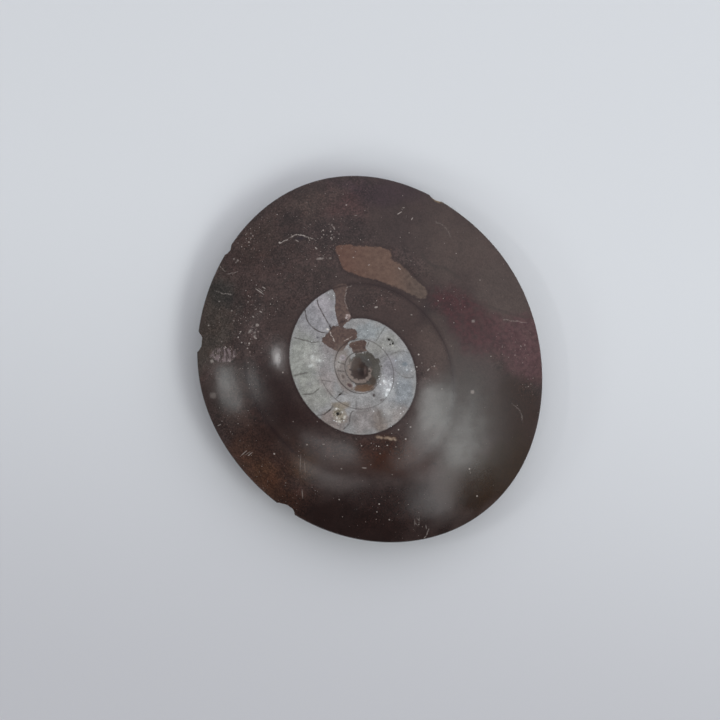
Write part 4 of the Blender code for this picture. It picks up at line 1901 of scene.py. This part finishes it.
    def scuffs(self, graph: Graph, where: Socket, density: Socket) -> Socket:
        """Fine upright scratches where specks are thickest.

        Args:
            graph: The material's nodes.
            where: The place.
            density: The share of places that hold a speck.

        Returns:
            How strongly they show.
        """
        scratched = graph.noise(graph.vectors("MULTIPLY", where, (1.0, 0.3, 0.3)), 0.5, 4.0, 0.75)
        return graph.times(graph.ramp(density, 0.6, 0.95), graph.ramp(scratched, 0.42, 0.6), self.scuff_cover)

    def threads(self, graph: Graph, where: Socket) -> Socket:
        """Thin crinkled threads, broken up along their way.

        Args:
            graph: The material's nodes.
            where: The place.

        Returns:
            How strongly they show.
        """
        side, ink, _ = graph.parts(graph.read(THREADS.name).outputs["Vector"])
        broken_up = graph.ramp(graph.noise(where, 0.5, 4.0, 0.7), 0.42, 0.56, 0.15, 1.0)
        side = graph.plus(side, graph.shake(where, reach=1.4, size=0.9, detail=3.0, harshness=0.6))
        return graph.times(graph.ramp(graph.maths("ABSOLUTE", side), 0.6, 0.1), ink, broken_up)

    def flecks(self, graph: Graph, where: Socket) -> Socket:
        """Light spots and straight scratches, crumbly at their edges and halfway from round to square.

        Args:
            graph: The material's nodes.
            where: The place.

        Returns:
            How strongly they show.
        """
        along, across, ink = graph.parts(graph.read(FLECKS.name).outputs["Vector"])
        square = graph.larger(graph.maths("ABSOLUTE", along), graph.maths("ABSOLUTE", across))
        out = graph.times(graph.plus(square, graph.length(along, across)), 0.5)
        crumbly = graph.shake(where, reach=0.6, size=0.3, detail=3.0, harshness=0.7)
        return graph.times(graph.ramp(graph.plus(out, crumbly), 1.25, 0.45), ink, self.fleck_cover)

    def rim_shade(self, graph: Graph) -> Socket:
        """How strongly the painted shade just under the rim shows, from its height above the foot.

        Args:
            graph: The material's nodes.

        Returns:
            The share, from 0 to 1.
        """
        _, height, _ = graph.parts(graph.read("zones").outputs["Vector"])
        below_rim = graph.ramp(height, 8.46, 8.3, 0.0, 0.6)
        return graph.times(below_rim, graph.ramp(height, 6.4, 7.8))

    def fracture(self, graph: Graph, where: Socket, rock: Socket) -> Socket:
        """Colour of the broken faces, half that of the rock beside them.

        Args:
            graph: The material's nodes.
            where: The place.
            rock: The rock's colour.

        Returns:
            The colour.
        """
        fresh = self.fractured.blotched(graph, graph.noise(where, 0.6, 5.0, 0.65))
        return graph.mix(0.5, fresh, rock)

    def gloss(self, graph: Graph, where: Socket, calcite: Socket, dull: Socket, broken: Socket) -> Socket:
        """Roughness of the polish, duller on marks, breaks and the ground foot.

        Args:
            graph: The material's nodes.
            where: The place.
            calcite: How much of the surface is calcite.
            dull: How dull the marks are.
            broken: How much of the surface is broken.

        Returns:
            The roughness.
        """
        _, height, past_groove = graph.parts(graph.read("zones").outputs["Vector"])
        x, y, _ = graph.parts(where)
        rightward = graph.maths("MULTIPLY_ADD", y, 0.7, x)
        outer = graph.ramp(rightward, 4.0, 24.0, self.outer_roughness, self.right_roughness)
        inner = graph.ramp(past_groove, -7.0, -1.0, self.roughness, self.groove_roughness)
        rock = graph.ramp(past_groove, -1.0, 1.5, inner, outer)
        smears = graph.ramp(graph.noise(where, 4.0, 4.0, 0.6), 0.35, 0.7, 0.0, self.smear_roughness)
        rough = graph.plus(graph.between(calcite, rock, self.calcite_roughness), smears)
        rough = graph.larger(rough, graph.ramp(graph.length(x, y), 5.6, 4.0, 0.0, self.core_roughness))
        rough = graph.maths("MULTIPLY_ADD", dull, self.mark_roughness, rough)
        rough = graph.larger(rough, graph.ramp(height, 1.2, 0.3, 0.0, self.ground_roughness))
        return graph.larger(rough, graph.times(broken, self.broken_roughness))

    def surface(self, graph: Graph, where: Socket, calcite: Socket, dull: Socket, broken: Socket) -> Socket:
        """Fine relief: polishing strokes along Y, grain, sunken marks and the crumbly breaks.

        Args:
            graph: The material's nodes.
            where: The place.
            calcite: How much of the surface is calcite.
            dull: How dull the marks are, which are also sunken.
            broken: How much of the surface is broken.

        Returns:
            The normal.
        """
        drawn_out = graph.vectors("MULTIPLY", where, (1.0, 0.12, 0.5))
        strokes = graph.times(graph.noise(drawn_out, 0.3, 3.0, 0.6), self.stroke_height)
        skin = graph.times(graph.noise(where, 0.45, 3.0, 0.5), self.skin_height)
        crystals = graph.times(graph.cells(where, 0.45).outputs["Distance"], calcite, self.crystal_height)
        height = graph.plus(graph.plus(strokes, skin), crystals)
        height = graph.maths("MULTIPLY_ADD", dull, -self.mark_depth, height)
        rubble = graph.times(graph.noise(where, 0.35, 5.0, 0.7), self.rubble_height)
        height = graph.maths("MULTIPLY_ADD", broken, rubble, height)
        bump = graph.add("Bump")
        bump.inputs["Distance"].default_value = MM
        graph.feed(bump.inputs["Height"], height)
        return bump.outputs["Normal"]


# --------------------------------------------------------------------------------------------- studio


@dataclass(frozen=True)
class Softbox:
    """A lit panel that faces the stone, with two of its sides level and square to the bench's back edge."""

    name: str
    rightward: float  # share of the way to it that goes along +X
    backward: float  # share of the way to it that goes along +Y
    wide: float  # metres, along the level sides
    tall: float  # metres
    radiance: float
    distance: float = 1.0
    colour: str = "ffffff"
    glints: bool = True  # whether the polish mirrors it

    def hang(self, middle: Vector) -> None:
        """Makes the light.

        Args:
            middle: Where the umbilicus stands, in metres.
        """
        upward = math.sqrt(1 - self.rightward**2 - self.backward**2)
        way = Vector((self.rightward, self.backward, upward))
        panel = bpy.data.lights.new(self.name, "AREA")
        panel.shape = "RECTANGLE"
        panel.size, panel.size_y = self.tall, self.wide
        panel.energy = self.radiance * math.pi * self.wide * self.tall
        panel.color = linear(self.colour)
        light = bpy.data.objects.new(self.name, panel)
        bpy.context.scene.collection.objects.link(light)
        tilted = Vector((0.0, 1.0, 0.0)).cross(way).normalized()
        level = way.cross(tilted)
        turn = Matrix((tilted, level, way)).transposed().to_4x4()
        light.matrix_world = Matrix.Translation(middle + way * self.distance) @ turn
        light.visible_camera = False
        light.visible_glossy = self.glints


@dataclass
class Studio:
    """The pale floor, the soft lights and the camera straight above."""

    middle: Vector  # where the umbilicus stands, in metres
    floor_size: float = 14.0
    floor_colour: str = "e7e9ec"
    floor_shade_colour: str = "cbcbcf"  # painted shade, darker toward its near left
    shade_way: tuple[float, float, float] = (-0.15, -0.98, 0.0)
    shade_from: float = -0.035  # metres that way, where it leaves the first colour
    shade_to: float = 0.1
    floor_roughness: float = 0.9
    camera_place: Vector = field(default_factory=lambda: Vector((-0.0022, -0.0002, 0.913)))
    lens: float = 200.0
    sensor: float = 36.0
    room_colour: str = "f7f9ff"
    seen_colour: str = "d6d9de"  # what the camera sees past the floor
    room_high: float = 0.6
    room_low: float = 0.1
    room_spread: tuple[float, float] = (-0.5, 1.0)  # how far round the room is low, and is high
    bright_side: tuple[float, float, float] = (0.5, 0.75, 0.43)
    softboxes: tuple[Softbox, ...] = (
        Softbox("key", 0.4, 0.47, 0.9, 0.9, 0.72, 0.75, "fbfbff", glints=False),
        Softbox("window", 0.52, -0.265, 0.42, 0.29, 5.4, colour="f4faf8"),
        Softbox("lamp", -0.59, 0.055, 0.14, 0.026, 37.0),
        Softbox("left_panel", -0.825, -0.19, 0.26, 0.19, 4.7, colour="f6fbfa"),
        Softbox("low_panel", 0.33, -0.65, 0.44, 0.26, 2.3),
        Softbox("front_panel", -0.28, -0.59, 0.2, 0.4, 1.9),
    )

    def build(self) -> None:
        """Sets up everything round the stone."""
        self.lay_floor()
        for softbox in self.softboxes:
            softbox.hang(self.middle)
            log.info("light %s", softbox.name)
        self.light_room()
        self.set_camera()

    def lay_floor(self) -> None:
        """Lays a pale sheet under the stone, with painted shade that darkens it toward its near left."""
        bpy.ops.mesh.primitive_plane_add(size=self.floor_size)
        floor = bpy.context.object
        floor.name = "floor"
        graph = Graph("pale_paper")
        place = graph.add("TexCoord").outputs["Object"]
        # painted shade: the floor darkens toward its near left
        toward_shade = graph.vectors("DOT_PRODUCT", place, self.shade_way)
        share = graph.ramp(toward_shade, self.shade_from, self.shade_to)
        colour = graph.mix(share, shade(self.floor_colour), shade(self.floor_shade_colour))
        graph.feed(graph.shader.inputs["Base Color"], colour)
        graph.shader.inputs["Roughness"].default_value = self.floor_roughness
        graph.shader.inputs["Specular IOR Level"].default_value = 0.1
        floor.data.materials.append(graph.material)
        log.info("floor laid")

    def light_room(self) -> None:
        """Fills the room with soft light that comes mostly from the back and the right."""
        world = bpy.data.worlds.new("room")
        world.use_nodes = True
        bpy.context.scene.world = world
        tree = world.node_tree
        seen = tree.nodes["Background"]
        seen.inputs["Color"].default_value = shade(self.seen_colour)
        seen.inputs["Strength"].default_value = 1.0
        fill = tree.nodes.new("ShaderNodeBackground")
        way = tree.nodes.new("ShaderNodeTexCoord")
        toward = tree.nodes.new("ShaderNodeVectorMath")
        toward.operation = "DOT_PRODUCT"
        toward.inputs[1].default_value = self.bright_side
        spread = tree.nodes.new("ShaderNodeMapRange")
        spread.interpolation_type = "SMOOTHSTEP"
        for socket, value in zip(spread.inputs[1:5], (*self.room_spread, self.room_low, self.room_high)):
            socket.default_value = value
        fill.inputs["Color"].default_value = shade(self.room_colour)
        path = tree.nodes.new("ShaderNodeLightPath")
        choose = tree.nodes.new("ShaderNodeMixShader")
        for start, end in (
            (way.outputs["Generated"], toward.inputs[0]),
            (toward.outputs["Value"], spread.inputs[0]),
            (spread.outputs[0], fill.inputs["Strength"]),
            (path.outputs["Is Camera Ray"], choose.inputs[0]),
            (fill.outputs[0], choose.inputs[1]),
            (seen.outputs[0], choose.inputs[2]),
            (choose.outputs[0], tree.nodes["World Output"].inputs["Surface"]),
        ):
            tree.links.new(start, end)
        log.info("room lit")

    def set_camera(self) -> None:
        """Looks straight down on the stone, and shows colours as they are."""
        camera = bpy.data.cameras.new("camera")
        camera.lens = self.lens
        camera.sensor_width = self.sensor
        holder = bpy.data.objects.new("camera", camera)
        bpy.context.scene.collection.objects.link(holder)
        holder.location = self.camera_place
        bpy.context.scene.camera = holder
        bpy.context.scene.view_settings.view_transform = "Standard"
        log.info("camera set")


def main() -> None:
    """Builds the stone and its studio."""
    logging.basicConfig(level=logging.INFO, format="%(name)s: %(message)s")
    ammonite = Stone()
    stone = ammonite.build()
    log.info("stone: %d faces", len(stone.data.polygons))
    middle = ammonite.section.outline.umbilicus()
    stone.data.materials.append(PolishedStone(middle).make())
    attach(stone, BODY)
    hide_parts(NODE)
    Studio(middle).build()


if __name__ == "__main__":
    main()
